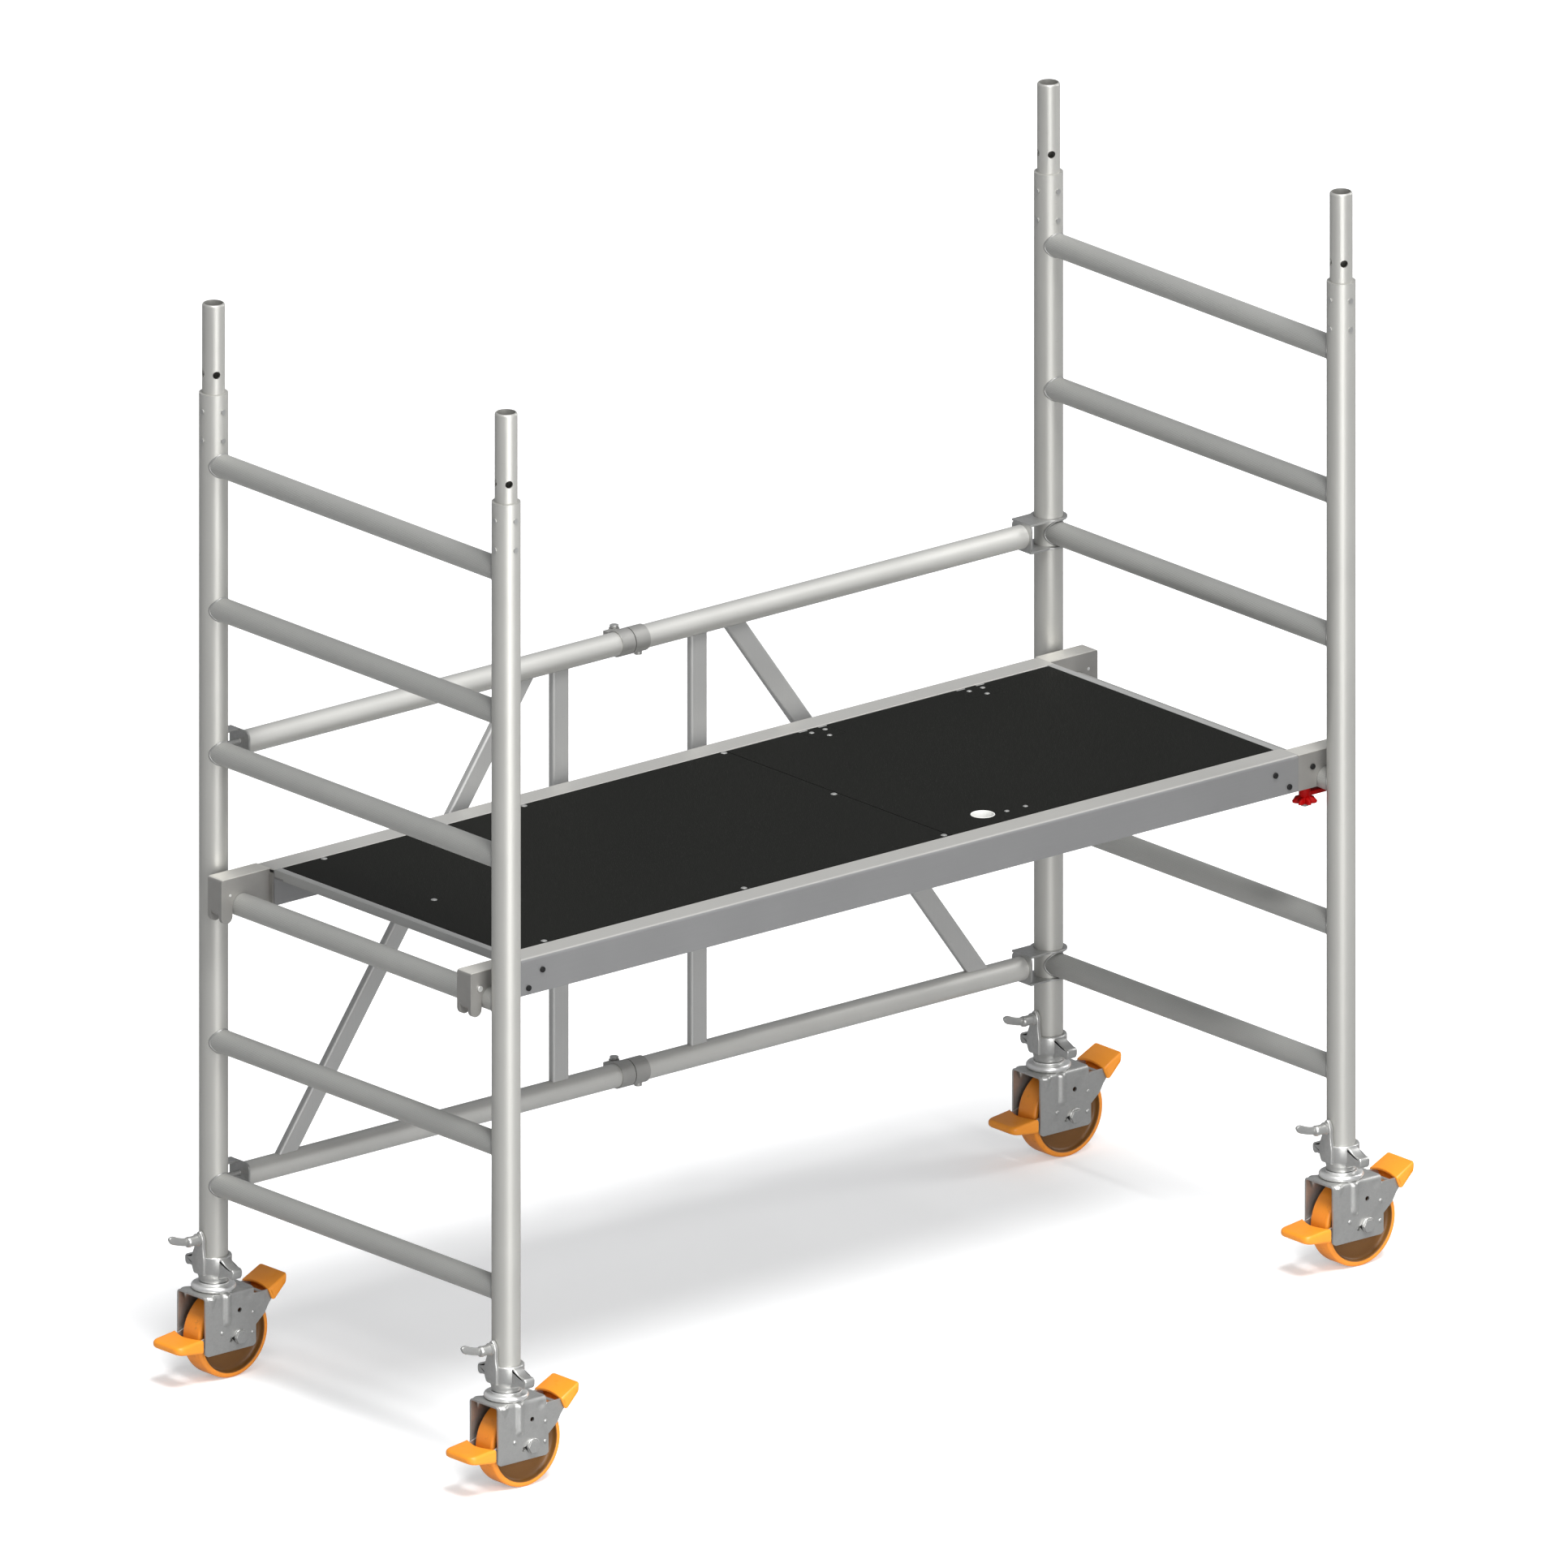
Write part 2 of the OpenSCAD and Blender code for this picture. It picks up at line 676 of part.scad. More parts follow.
module hatch_screws() {
  color(zinc) {
    at_hatch_hinges() for (p = leaf_screws_at) translate([p[0], p[1], deck_z]) {
      dome(screw_head, 1.6);
      rod_z(screw_d, rest_gap + weld_gap - panel_t, weld_gap);
    }
    for (p = catch_screws_at) translate([catch_at[0] + p[0], catch_at[1] + p[1], deck_z]) {
      dome(screw_head, 1.6);
      rod_z(screw_d, rest_gap + weld_gap - panel_t, weld_gap);
    }
  }
}

// A sprung catch screwed under the hatch, its rounded nose clear of the rail's ledge
module hatch_catch() {
  catch_l = 60;
  catch_h = 16;
  nose_y = -rail_in_y + ledge_w + 2;
  body_y = catch_at[1] + 14;
  color(black) translate([catch_at[0] - catch_l / 2, 0, panel_z + rest_gap - catch_h]) {
    translate([0, nose_y + 4, 0]) cube([catch_l, body_y - nose_y - 4, catch_h]);
    translate([catch_l / 2 - 12, nose_y + 4, catch_h / 2]) rod_x(8, 0, 24);
  }
}

// ---- Wind lock ----

lock_knob_r = 21.5;
lock_z = rung_z(deck_rung) - rung_r - 1.5;
lock_plate_t = 8;
lock_knob_h = 12;
lock_lobes = 6;
claw_foot_z = deck_z - rail_h;

module at_wind_lock() {
  translate([lock_x, -rail_out_y + claw_w / 2, 0]) children();
}

// A lobed knob with a finger under the rung, turned aside to free the claw
module wind_lock() {
  lobe_r = lock_knob_r / 3;
  color(red) at_wind_lock() difference() {
    union() {
      rod_z(20, lock_z - 1, claw_foot_z - rest_gap);
      translate([0, -8, lock_z - lock_plate_t]) cube([38, 16, lock_plate_t]);
      translate([38, 0, 0]) rod_z(16, lock_z - lock_plate_t, lock_z);
      translate([0, 0, lock_z - lock_plate_t - lock_knob_h]) linear_extrude(lock_knob_h + 1) {
        circle(lock_knob_r - lobe_r);
        for (i = [0:lock_lobes - 1]) rotate(i * 360 / lock_lobes)
          translate([lock_knob_r - lobe_r, 0]) circle(lobe_r);
      }
    }
    rod_z(lock_bolt_d + 2 * run_gap, 0, deck_z);
  }
}

module wind_lock_bolt() {
  foot = lock_z - lock_plate_t - lock_knob_h;
  color(zinc) at_wind_lock() {
    rod_z(lock_bolt_d, foot - rest_gap - 1, rung_z(deck_rung) + 9);
    translate([0, 0, foot - rest_gap - 5]) cylinder(d = 14, h = 5, $fn = 6);
  }
}

// ---- Castors ----

cup_r = upright_r + 6;
neck_r = upright_r + 0.85;
lobe_reach = 62;
lobe_w = 22;
lobe_h = 20;
lobe_top = collar_z + 32;
ear_x = -(upright_r + 2.5);
ear_t = 6;
ear_w = 20;
ear_top = collar_z + 87;
screw_z = collar_z + 76;
screw_shank_d = 8;
king_head_d = 30;
king_head_h = 4;
race_wall = 4;
race_cavity_z = race_z + race_h - race_wall;
king_head_z = race_cavity_z - rest_gap - king_head_h;
stem_l = 110;

// A casting that clamps on the upright's foot: cup, stem inside the tube, side lobes, an
// ear for the wing screw, and the riveted king pin that the fork turns on
module castor_collar() {
  difference() {
    union() {
      rod_z(2 * neck_r, collar_z, cup_floor);
      rod_z(2 * cup_r, cup_floor, cup_top);
      for (sy = [-1, 1]) scale([1, sy, 1]) {
        translate([-lobe_w / 2, 0, lobe_top - lobe_h]) cube([lobe_w, lobe_reach - 6, lobe_h]);
        translate([-lobe_w / 2, lobe_reach - 6, lobe_top - lobe_h / 2])
          rotate([0, 90, 0]) scale([1, 0.6, 1]) cylinder(r = 10, h = lobe_w);
      }
      translate([ear_x - ear_t, -ear_w / 2, cup_floor])
        cube([ear_t, ear_w, ear_top - ear_w / 2 - cup_floor]);
      translate([ear_x - ear_t, 0, ear_top - ear_w / 2]) rotate([0, 90, 0]) cylinder(d = ear_w, h = ear_t);
    }
    rod_z(upright_d + 2 * fit_gap, cup_floor, ear_top + over);
    translate([0, 0, screw_z]) rod_x(screw_shank_d + 2 * run_gap, -bay_w / 4, 0);
  }
  rod_z(2 * (upright_ir - fit_gap), cup_floor - 1, cup_floor + stem_l);
  rod_z(king_d, king_head_z, collar_z + 1);
  rod_z(king_head_d, king_head_z, king_head_z + king_head_h);
}

module castor_collars() {
  color(zinc) for (i = [0:3]) at_corner(i) castor_collar();
}

// Places on a castor, as (x, z): from the axle, from the foremost point of the tread, and
// from the corner above the tread's rearmost point at the height of the fork's crown
function from_axle(x, z) = [trail + x, wheel_r + z];
function from_tread(x, z) = [trail - wheel_r + x, wheel_r + z];
function from_crown(x, z) = [trail + wheel_r + x, crown_z + z];

cheek_x0 = -(race_d / 2 + 10.5);
cheek_x1 = trail + 36;
cheek_foot = wheel_r - 22;
cheek_chamfer = 4;
cheek_lean = 5;
rib_w = 12;
rib_h = 52;

// Outline of a fork's cheek, as (x, z)
module cheek_profile() {
  polygon([[cheek_x0, race_z], [cheek_x0, cheek_foot + cheek_chamfer],
           [cheek_x0 + cheek_chamfer, cheek_foot], [cheek_x1 - cheek_chamfer, cheek_foot],
           [cheek_x1, cheek_foot + cheek_chamfer], [cheek_x1, wheel_r + 11],
           [cheek_x1 - cheek_lean, race_z]]);
}

module castor_fork() {
  y = fork_w / 2;
  color(zinc) difference() {
    union() {
      for (y0 = [-y, y - fork_t]) along_y(y0, y0 + fork_t) cheek_profile();
      translate([cheek_x0, -y, crown_z]) cube([cheek_x1 - cheek_lean - cheek_x0, fork_w, fork_t]);
      translate([0, 0, race_z - 1]) cylinder(d = race_d, h = race_h - 3);
      translate([0, 0, race_z - 1]) cylinder(d = race_d - 2 * race_wall, h = race_h + 1);
      for (sy = [-1, 1]) scale([1, sy, 1])
        translate([-rib_w / 2, y - 0.5, crown_z - rib_h]) cube([rib_w, 2, rib_h]);
    }
    rod_z(race_d - 4 * race_wall, crown_z - over, race_cavity_z);
    rod_z(king_d + 2 * run_gap, crown_z, collar_z + over);
    translate([trail, 0, wheel_r]) rod_y(axle_d + 2 * fit_gap, -fork_w, fork_w);
  }
}

module castor_axle() {
  y = fork_w / 2 + rest_gap;
  color(zinc) translate([trail, 0, wheel_r]) {
    rod_y(axle_d, -y - 4, y + 4);
    rod_y(24, y, y + 4);
    translate([0, -y, 0]) rotate([90, 0, 0]) cylinder(d = 24, h = 7, $fn = 6);
  }
}

hub_r = 19;
hub_half = 26;
web_half_w = 14;
rim_t = 14;
tread_round = 4;

module castor_wheel() {
  h = wheel_w / 2;
  half = [[axle_d / 2 + run_gap, hub_half], [hub_r, hub_half], [hub_r + 2, web_half_w],
          [wheel_r - rim_t - 2, web_half_w], [wheel_r - rim_t, h], [wheel_r - tread_round, h],
          [wheel_r, h - tread_round]];
  other = [for (i = [len(half) - 1:-1:0]) [half[i][0], -half[i][1]]];
  color(brown_orange) translate([trail, 0, wheel_r]) rotate([90, 0, 0])
    rotate_extrude($fn = 96) polygon(concat(half, other));
}

arm_in_y = 28.5;
arm_t = 3;
arm_hub_r = 15;
shoe_at = from_crown(-20, -15.5);
shoe_d = 8;

// Outline of a brake arm, as (x, z): from the front pedal past the axle to the rear pedal
module arm_profile() {
  polygon([from_tread(-18, -9), from_tread(-18, 3), from_tread(10, 11), from_axle(-30, 21),
           from_axle(13, 43), from_crown(-38, -11.5), from_crown(0, -10.5),
           from_crown(6, -19.5), from_crown(-8, -36.5), from_axle(59, 27), from_axle(35, 7),
           from_axle(8, -13), from_axle(-8, -13), from_tread(20, -12)]);
  translate(from_axle(0, 0)) circle(arm_hub_r);
}

module brake_arms() {
  color(zinc) {
    for (sy = [-1, 1]) scale([1, sy, 1]) difference() {
      along_y(arm_in_y, arm_in_y + arm_t) arm_profile();
      translate([trail, 0, wheel_r]) rod_y(axle_d + 2 * run_gap, 0, fork_w);
    }
    translate([shoe_at[0], 0, shoe_at[1]])
      rod_y(shoe_d, -arm_in_y + weld_gap, arm_in_y - weld_gap);
  }
}

// The space that the two arms take inside the pedals
module arm_slots() {
  for (sy = [-1, 1]) scale([1, sy, 1])
    along_y(arm_in_y - fit_gap, arm_in_y + arm_t + fit_gap) arm_profile();
}

module rounded_plan(x0, x1, r) {
  translate([(x0 + x1) / 2, 0, 0]) linear_extrude(2 * wheel_d) rounded(x1 - x0, fork_w, r);
}

pedal_front = from_tread(-56, 0)[0];
pedal_back = from_crown(34, 0)[0];
pedal_round = 10;

module front_pedal() {
  difference() {
    intersection() {
      along_y(-fork_w / 2, fork_w / 2)
        polygon([from_tread(-56, -6), from_tread(-53, -10), from_tread(-34, -13),
                 from_tread(-4, -15), from_tread(-3, -13), from_tread(-3, 9),
                 from_tread(-5, 11), from_tread(-51, 6), from_tread(-56, 2)]);
      rounded_plan(pedal_front, pedal_front + 60, pedal_round);
    }
    arm_slots();
  }
}

module rear_pedal() {
  difference() {
    intersection() {
      along_y(-fork_w / 2, fork_w / 2)
        polygon([from_crown(-10, -11.5), from_crown(-3, -30), from_crown(3, -30),
                 from_crown(31, -3), from_crown(34, 2), from_crown(33, 9),
                 from_crown(28, 11), from_crown(-7, -8.5)]);
      rounded_plan(pedal_back - 60, pedal_back, pedal_round);
    }
    arm_slots();
  }
}

module brake_pedals() {
  color(orange) {
    front_pedal();
    rear_pedal();
  }
}

// Shank through the ear, round boss and a single flat blade to turn it by
module wing_screw() {
  boss_x = ear_x - ear_t - rest_gap;
  boss_l = 26;
  blade_l = 44;
  color(zinc) translate([0, 0, screw_z]) {
    rod_x(screw_shank_d, boss_x - 1, -upright_r - rest_gap);
    rod_x(20, boss_x - boss_l, boss_x);
    translate([boss_x - boss_l + 2, 0, 0]) rotate([0, 18, 0]) {
      translate([-blade_l + 7, -7, -3.5]) cube([blade_l - 7, 14, 7]);
      translate([-blade_l + 7, 0, -3.5]) cylinder(d = 14, h = 7);
    }
  }
}

at_corner(0) upright();  // left_front_upright
at_corner(1) upright();  // left_back_upright
at_corner(2) upright();  // right_front_upright
at_corner(3) upright();  // right_back_upright
rungs(-1);  // left_rungs
rungs(1);  // right_rungs
spigots();
spigot_rivets();
brace_tube(-1, 1);  // left_top_brace_tube
brace_tube(1, 1);  // right_top_brace_tube
brace_tube(-1, 0);  // left_bottom_brace_tube
brace_tube(1, 0);  // right_bottom_brace_tube
brace_posts();
brace_diagonals();
upright_brackets();
left_hinge_fittings();
right_hinge_fittings();
brace_hinge_pins();
deck_rail(-1);  // front_deck_rail
deck_rail(1);  // back_deck_rail
deck_end_beams();
deck_cross_beams();
fixed_panel();
deck_rivets();
claws();
claw_bolts();
hatch_hinge_leaves();
hatch_hinge_pins();
hatch_panel();
hatch_hinge_flaps();
hatch_screws();
hatch_catch();
wind_lock();
wind_lock_bolt();
castor_collars();
at_corner(0) castor_fork();  // left_front_fork
at_corner(0) castor_axle();  // left_front_axle
at_corner(0) castor_wheel();  // left_front_wheel
at_corner(0) brake_arms();  // left_front_brake_arms
at_corner(0) brake_pedals();  // left_front_pedals
at_corner(0) wing_screw();  // left_front_wing_screw
at_corner(1) castor_fork();  // left_back_fork
at_corner(1) castor_axle();  // left_back_axle
at_corner(1) castor_wheel();  // left_back_wheel
at_corner(1) brake_arms();  // left_back_brake_arms
at_corner(1) brake_pedals();  // left_back_pedals
at_corner(1) wing_screw();  // left_back_wing_screw
at_corner(2) castor_fork();  // right_front_fork
at_corner(2) castor_axle();  // right_front_axle
at_corner(2) castor_wheel();  // right_front_wheel
at_corner(2) brake_arms();  // right_front_brake_arms
at_corner(2) brake_pedals();  // right_front_pedals
at_corner(2) wing_screw();  // right_front_wing_screw
at_corner(3) castor_fork();  // right_back_fork
at_corner(3) castor_axle();  // right_back_axle
at_corner(3) castor_wheel();  // right_back_wheel
at_corner(3) brake_arms();  // right_back_brake_arms
at_corner(3) brake_pedals();  // right_back_pedals
at_corner(3) wing_screw();  // right_back_wing_screw
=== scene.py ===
"""Looks of a rolling baker scaffold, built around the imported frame.

Every length is in metres, in the frame's own axes: X along the bay, Y across it to the
folding brace, Z up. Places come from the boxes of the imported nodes.
"""

import json
import math

import bmesh
import bpy
import numpy as np
from mathutils import Matrix, Vector

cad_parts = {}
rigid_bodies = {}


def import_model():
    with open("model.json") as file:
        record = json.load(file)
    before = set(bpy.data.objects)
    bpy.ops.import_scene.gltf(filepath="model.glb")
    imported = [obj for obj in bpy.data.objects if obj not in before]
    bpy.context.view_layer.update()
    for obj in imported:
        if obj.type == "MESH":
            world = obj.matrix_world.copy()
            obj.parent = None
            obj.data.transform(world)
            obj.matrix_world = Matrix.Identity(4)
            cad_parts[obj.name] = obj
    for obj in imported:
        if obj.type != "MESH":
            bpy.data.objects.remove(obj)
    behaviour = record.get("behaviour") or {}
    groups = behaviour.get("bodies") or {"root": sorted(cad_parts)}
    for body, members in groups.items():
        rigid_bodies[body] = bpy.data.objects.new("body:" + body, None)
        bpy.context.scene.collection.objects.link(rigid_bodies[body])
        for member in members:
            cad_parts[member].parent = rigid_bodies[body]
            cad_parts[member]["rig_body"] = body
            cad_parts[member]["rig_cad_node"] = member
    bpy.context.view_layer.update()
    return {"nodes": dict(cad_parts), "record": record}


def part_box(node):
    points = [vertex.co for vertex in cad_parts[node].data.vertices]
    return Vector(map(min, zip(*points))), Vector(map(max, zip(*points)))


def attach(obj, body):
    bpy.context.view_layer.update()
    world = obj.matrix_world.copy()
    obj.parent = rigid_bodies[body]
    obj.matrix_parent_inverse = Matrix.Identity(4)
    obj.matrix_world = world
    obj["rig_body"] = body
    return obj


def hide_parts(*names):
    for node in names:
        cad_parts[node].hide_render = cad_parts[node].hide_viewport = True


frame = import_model()

NODES = frame["nodes"]
BODY_OF = {node: body for body, nodes in frame["record"]["behaviour"]["bodies"].items() for node in nodes}
CORNERS = ["left_front", "left_back", "right_front", "right_back"]


def middle(node):
    """Centre of a node's box, as x, y and z."""
    low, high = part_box(node)
    return (low + high) / 2


def size(node):
    """Lengths of a node's box along x, y and z."""
    low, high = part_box(node)
    return high - low


# Tube sizes, and the ladder's spacing, from the nodes themselves
TUBE_D = size("left_front_upright").x
RUNG_D = size("left_rungs").x
RUNGS = 6
RUNG_PITCH = (size("left_rungs").z - RUNG_D) / (RUNGS - 1)
RUNG_Z = [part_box("left_rungs")[0].z + RUNG_D / 2 + i * RUNG_PITCH for i in range(RUNGS)]
WHEEL_R = size("left_front_wheel").z / 2
FORK_HALF = size("left_front_fork").y / 2 - 0.0015
TRAIL = middle("left_front_wheel").x - middle("left_front_upright").x
CROWN = 2 * WHEEL_R + 0.006
RIM_R = WHEEL_R - 0.0095
DECK_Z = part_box("front_deck_rail")[1].z
FINGER = (0.241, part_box("hatch_panel")[0].y + 0.0485)


# ---- Shader maths ----

class Wire:
    """A shader socket on which arithmetic adds Math nodes."""

    def __init__(self, finish, socket):
        self.finish, self.socket = finish, socket

    def join(self, operation, *others):
        inputs = {0: self, **dict(enumerate(others, 1))}
        return self.finish.add("ShaderNodeMath", {"operation": operation}, inputs)

    def __add__(self, other):
        return self.join("ADD", other)

    def __mul__(self, other):
        return self.join("MULTIPLY", other)

    __radd__, __rmul__ = __add__, __mul__

    def __sub__(self, other):
        return self.join("SUBTRACT", other)

    def __rsub__(self, other):
        return self.finish.add("ShaderNodeMath", {"operation": "SUBTRACT"}, {0: other, 1: self})

    def step(self, low, high):
        """0 below low, 1 above high, and smooth between them."""
        settings = {"interpolation_type": "SMOOTHSTEP"}
        return self.finish.add("ShaderNodeMapRange", settings, {0: self, 1: low, 2: high})


class Finish:
    """A procedural material around one Principled shader."""

    def __init__(self, name, **constants):
        self.material = bpy.data.materials.new(name)
        self.material.use_nodes = True
        self.tree = self.material.node_tree
        self.shader = self.tree.nodes["Principled BSDF"]
        for socket, value in constants.items():
            self.shader.inputs[socket.replace("_", " ")].default_value = value
        self.place = self.add("ShaderNodeTexCoord", {}, {}, out="Object")

    def add(self, kind, settings, inputs, out=0):
        """Adds a node: its settings first, then its sockets' values or wires."""
        node = self.tree.nodes.new(kind)
        for key, value in settings.items():
            setattr(node, key, value)
        for socket, value in inputs.items():
            self.feed(node.inputs[socket], value)
        return Wire(self, node.outputs[out])

    def feed(self, socket, value):
        if isinstance(value, Wire):
            self.tree.links.new(value.socket, socket)
        elif isinstance(value, tuple) and len(value) == 3 and socket.type == "RGBA":
            socket.default_value = (*value, 1.0)
        else:
            socket.default_value = value

    def scaled(self, x, y, z):
        """Object coordinates, each axis times its own number."""
        return self.add("ShaderNodeVectorMath", {"operation": "MULTIPLY"}, {0: self.place, 1: (x, y, z)})

    def noise(self, place, scale, detail=3.0, roughness=0.55):
        return self.add("ShaderNodeTexNoise", {}, {"Vector": place, "Scale": scale, "Detail": detail,
                                                   "Roughness": roughness})

    def painted_lit_top(self):
        """1 on the deck's top faces, and 0 from just under them down: where a top is painted lighter, as if
        lit from above.
        """
        return self.axis("Z").step(DECK_Z - 0.0022, DECK_Z - 0.0006)

    def axis(self, letter):
        """One of the object coordinates."""
        return self.add("ShaderNodeSeparateXYZ", {}, {0: self.place}, out=letter)

    def blend(self, factor, first, second):
        """The first colour where factor is 0, and the second where it is 1."""
        return self.add("ShaderNodeMix", {"data_type": "RGBA"}, {0: factor, 6: first, 7: second}, out=2)

    def bump(self, height, distance, strength=1.0, under=None):
        inputs = {"Height": height, "Distance": distance, "Strength": strength}
        if under is not None:
            inputs["Normal"] = under
        return self.add("ShaderNodeBump", {}, inputs)

    def wear(self, colour=None, roughness=None, normal=None):
        """Feeds what changes over the surface to the shader, and returns the material."""
        for socket, wire in (("Base Color", colour), ("Roughness", roughness), ("Normal", normal)):
            if wire is not None:
                self.feed(self.shader.inputs[socket], wire)
        return self.material


def drawn_aluminium(name, along, tone, dull=0.0):
    """Extruded aluminium: die lines that run along one axis, faint clouds and handling scratches."""
    f = Finish(name, Metallic=0.62, IOR=1.45)
    stretch = [1.0 if axis == along else 60.0 for axis in "XYZ"]
    lines = f.noise(f.scaled(*stretch), 9.0, 4.0, 0.7)
    clouds = f.noise(f.place, 7.0, 3.0)
    drift = [18.0 if axis == along else 5.0 for axis in "XYZ"]
    scuffs = f.noise(f.scaled(*drift), 11.0, 6.0, 0.75).step(0.60, 0.72)
    shade = f.blend(clouds, tuple(0.90 * c for c in tone), tone)
    shade = f.blend(lines * 0.25, shade, tuple(0.72 * c for c in tone))
    shade = f.blend(scuffs * 0.35, shade, tuple(0.80 * c for c in tone))
    rough = 0.38 + dull + clouds * 0.09 + lines * 0.08 + scuffs * 0.08
    return f, lines, shade, rough


def tube_finish(name, along, tone=(0.55, 0.545, 0.515), dull=0.0, lit_top_tone=None):
    """Drawn aluminium, and where a top tone is given, a top face painted brighter: painted light from
    above.
    """
    f, lines, shade, rough = drawn_aluminium(name, along, tone, dull)
    if lit_top_tone is not None:
        # painted light: the top faces take the lighter top tone
        shade = f.blend(f.painted_lit_top(), shade, lit_top_tone)
    return f.wear(shade, rough, f.bump(lines, 0.00012, 0.35))


def rung_finish():
    """Grip ribs round each rung: a wave of the angle about the rung's own centre line."""
    f, lines, shade, rough = drawn_aluminium("ribbed_rung", "Y", (0.50, 0.50, 0.478), 0.14)
    height = f.add("ShaderNodeMath", {"operation": "WRAP"},
                   {0: f.axis("Z") - RUNG_Z[0], 1: RUNG_PITCH / 2, 2: -RUNG_PITCH / 2})
    side = f.axis("X").join("ABSOLUTE") - abs(middle("left_rungs").x)
    angle = f.add("ShaderNodeMath", {"operation": "ARCTAN2"}, {0: height, 1: side})
    rib_count = 54.0
    ribs = (angle * rib_count).join("SINE") * 0.5 + 0.5
    # the troughs between the ribs are painted darker: painted shade
    return f.wear(f.blend((1.0 - ribs) * 0.30, shade, (0.40, 0.40, 0.39)), rough,
                  f.bump(ribs, 0.00035, 0.8, f.bump(lines, 0.0001, 0.3)))


def cast_finish(name, tone, lit_top_tone=None):
    """Die-cast aluminium: a fine grain with soft flow clouds, and where a top tone is given, a top face
    painted brighter: painted light from above.
    """
    f = Finish(name, Metallic=0.70, IOR=1.45)
    grain = f.noise(f.place, 1400.0, 2.0, 0.6)
    flow = f.noise(f.place, 38.0, 4.0)
    shade = f.blend(flow, tuple(0.82 * c for c in tone), tone)
    if lit_top_tone is not None:
        # painted light: the top faces take the lighter top tone
        shade = f.blend(f.painted_lit_top(), shade, lit_top_tone)
    shade = f.blend(grain * 0.18, shade, tuple(0.6 * c for c in tone))
    return f.wear(shade, 0.34 + flow * 0.16 + grain * 0.06,
                  f.bump(grain, 0.00012, 0.5, f.bump(flow, 0.0004, 0.3)))


def zinc_finish(name, tone):
    """Bright zinc plate: small crystal flakes, faint rolling marks and a greyer bloom."""
    f = Finish(name, Metallic=0.80, IOR=1.45)
    flakes = f.add("ShaderNodeTexVoronoi", {"feature": "F1"}, {"Vector": f.place, "Scale": 210.0},
                   out="Color")
    flake = f.add("ShaderNodeSeparateColor", {}, {0: flakes})
    bloom = f.noise(f.place, 24.0, 5.0, 0.65)
    shade = f.blend(flake * 0.30, tone, tuple(0.80 * c for c in tone))
    shade = f.blend(bloom.step(0.48, 0.70) * 0.45, shade, tuple(0.70 * c for c in tone))
    return f.wear(shade, 0.27 + flake * 0.10 + bloom * 0.16,
                  f.bump(f.noise(f.place, 700.0, 2.0), 0.00008, 0.4))


def moulded_finish(name, tone, deep, gloss=0.38, grain_scale=900.0, shine=0.5):
    """Moulded plastic: a leathery spark grain, faint flow lines and rubbed patches."""
    f = Finish(name, Metallic=0.0, IOR=1.5, Specular_IOR_Level=shine)
    grain = f.noise(f.place, grain_scale, 2.0, 0.6)
    flow = f.noise(f.scaled(1.0, 1.0, 3.0), 26.0, 4.0)
    rubbed = f.noise(f.place, 60.0, 5.0, 0.7).step(0.55, 0.70)
    shade = f.blend(flow * 0.6, tone, deep)
    return f.wear(f.blend(rubbed * 0.22, shade, deep), gloss + rubbed * 0.14 + grain * 0.06,
                  f.bump(grain, 0.00012, 0.6))


def wheel_finish():
    """Moulded nylon: a bright rim and tread round a disc painted dark brown as the shade in its recess, by
    the distance from the axle.
    """
    f = Finish("wheel_nylon", Metallic=0.0, IOR=1.5)
    ahead = (f.axis("X") - TRAIL).join("ABSOLUTE") - abs(middle("left_front_upright").x)
    height = f.axis("Z") - WHEEL_R
    rim = (ahead * ahead + height * height).step(RIM_R ** 2, (RIM_R + 0.002) ** 2)
    flow = f.noise(f.place, 26.0, 4.0)
    scuffs = f.noise(f.place, 70.0, 5.0, 0.7).step(0.56, 0.72)
    grain = f.noise(f.place, 900.0, 2.0, 0.6)
    tread = f.blend(flow * 0.6, (0.86, 0.29, 0.022), (0.60, 0.18, 0.012))
    # the disc inside the rim is painted dark brown: painted shade in its recess
    shade = f.blend(rim, (0.150, 0.062, 0.010), tread)
    return f.wear(f.blend(scuffs * 0.35, shade, (0.20, 0.085, 0.025)), 0.40 + scuffs * 0.16 + grain * 0.05,
                  f.bump(grain, 0.00012, 0.6))


def film_finish():
    """Phenolic film on plywood: a woven anti-slip print, pale grit specks and traffic lanes of wear."""
    f = Finish("deck_film", Metallic=0.0, IOR=1.5, Specular_IOR_Level=0.16)
    thread = 2 * math.pi / 0.0032
    weave = ((f.axis("X") * thread).join("SINE") * (f.axis("Y") * thread).join("SINE")) * 0.5 + 0.5
    grit = f.noise(f.place, 900.0, 2.0, 0.7)
    lanes = f.noise(f.scaled(0.6, 1.6, 1.0), 3.2, 5.0, 0.6)
    specks = grit.step(0.62, 0.70)
    shade = f.blend(lanes, (0.0032, 0.0034, 0.0024), (0.0058, 0.0061, 0.0046))
    shade = f.blend(specks * 0.14, shade, (0.11, 0.10, 0.08))
    scrapes = f.noise(f.scaled(4.0, 30.0, 1.0), 4.0, 6.0, 0.75).step(0.66, 0.74)
    shade = f.blend(scrapes * 0.20, shade, (0.055, 0.052, 0.042))
    return f.wear(shade, 0.60 + lanes * 0.14 - weave * 0.06, f.bump(weave * 0.6 + grit * 0.4, 0.00025, 0.6))


def black_finish():
    """Black oxide on steel: a cloudy matt coat with grey rubbed spots."""
    f = Finish("black_oxide", Metallic=0.35, IOR=1.45)
    clouds = f.noise(f.place, 90.0, 4.0)
    rubbed = f.noise(f.place, 260.0, 4.0, 0.7).step(0.62, 0.74)
    return f.wear(f.blend(rubbed * 0.5, (0.012, 0.012, 0.012), (0.09, 0.09, 0.088)), 0.38 + clouds * 0.2,
                  f.bump(f.noise(f.place, 1200.0, 2.0), 0.00006, 0.5))


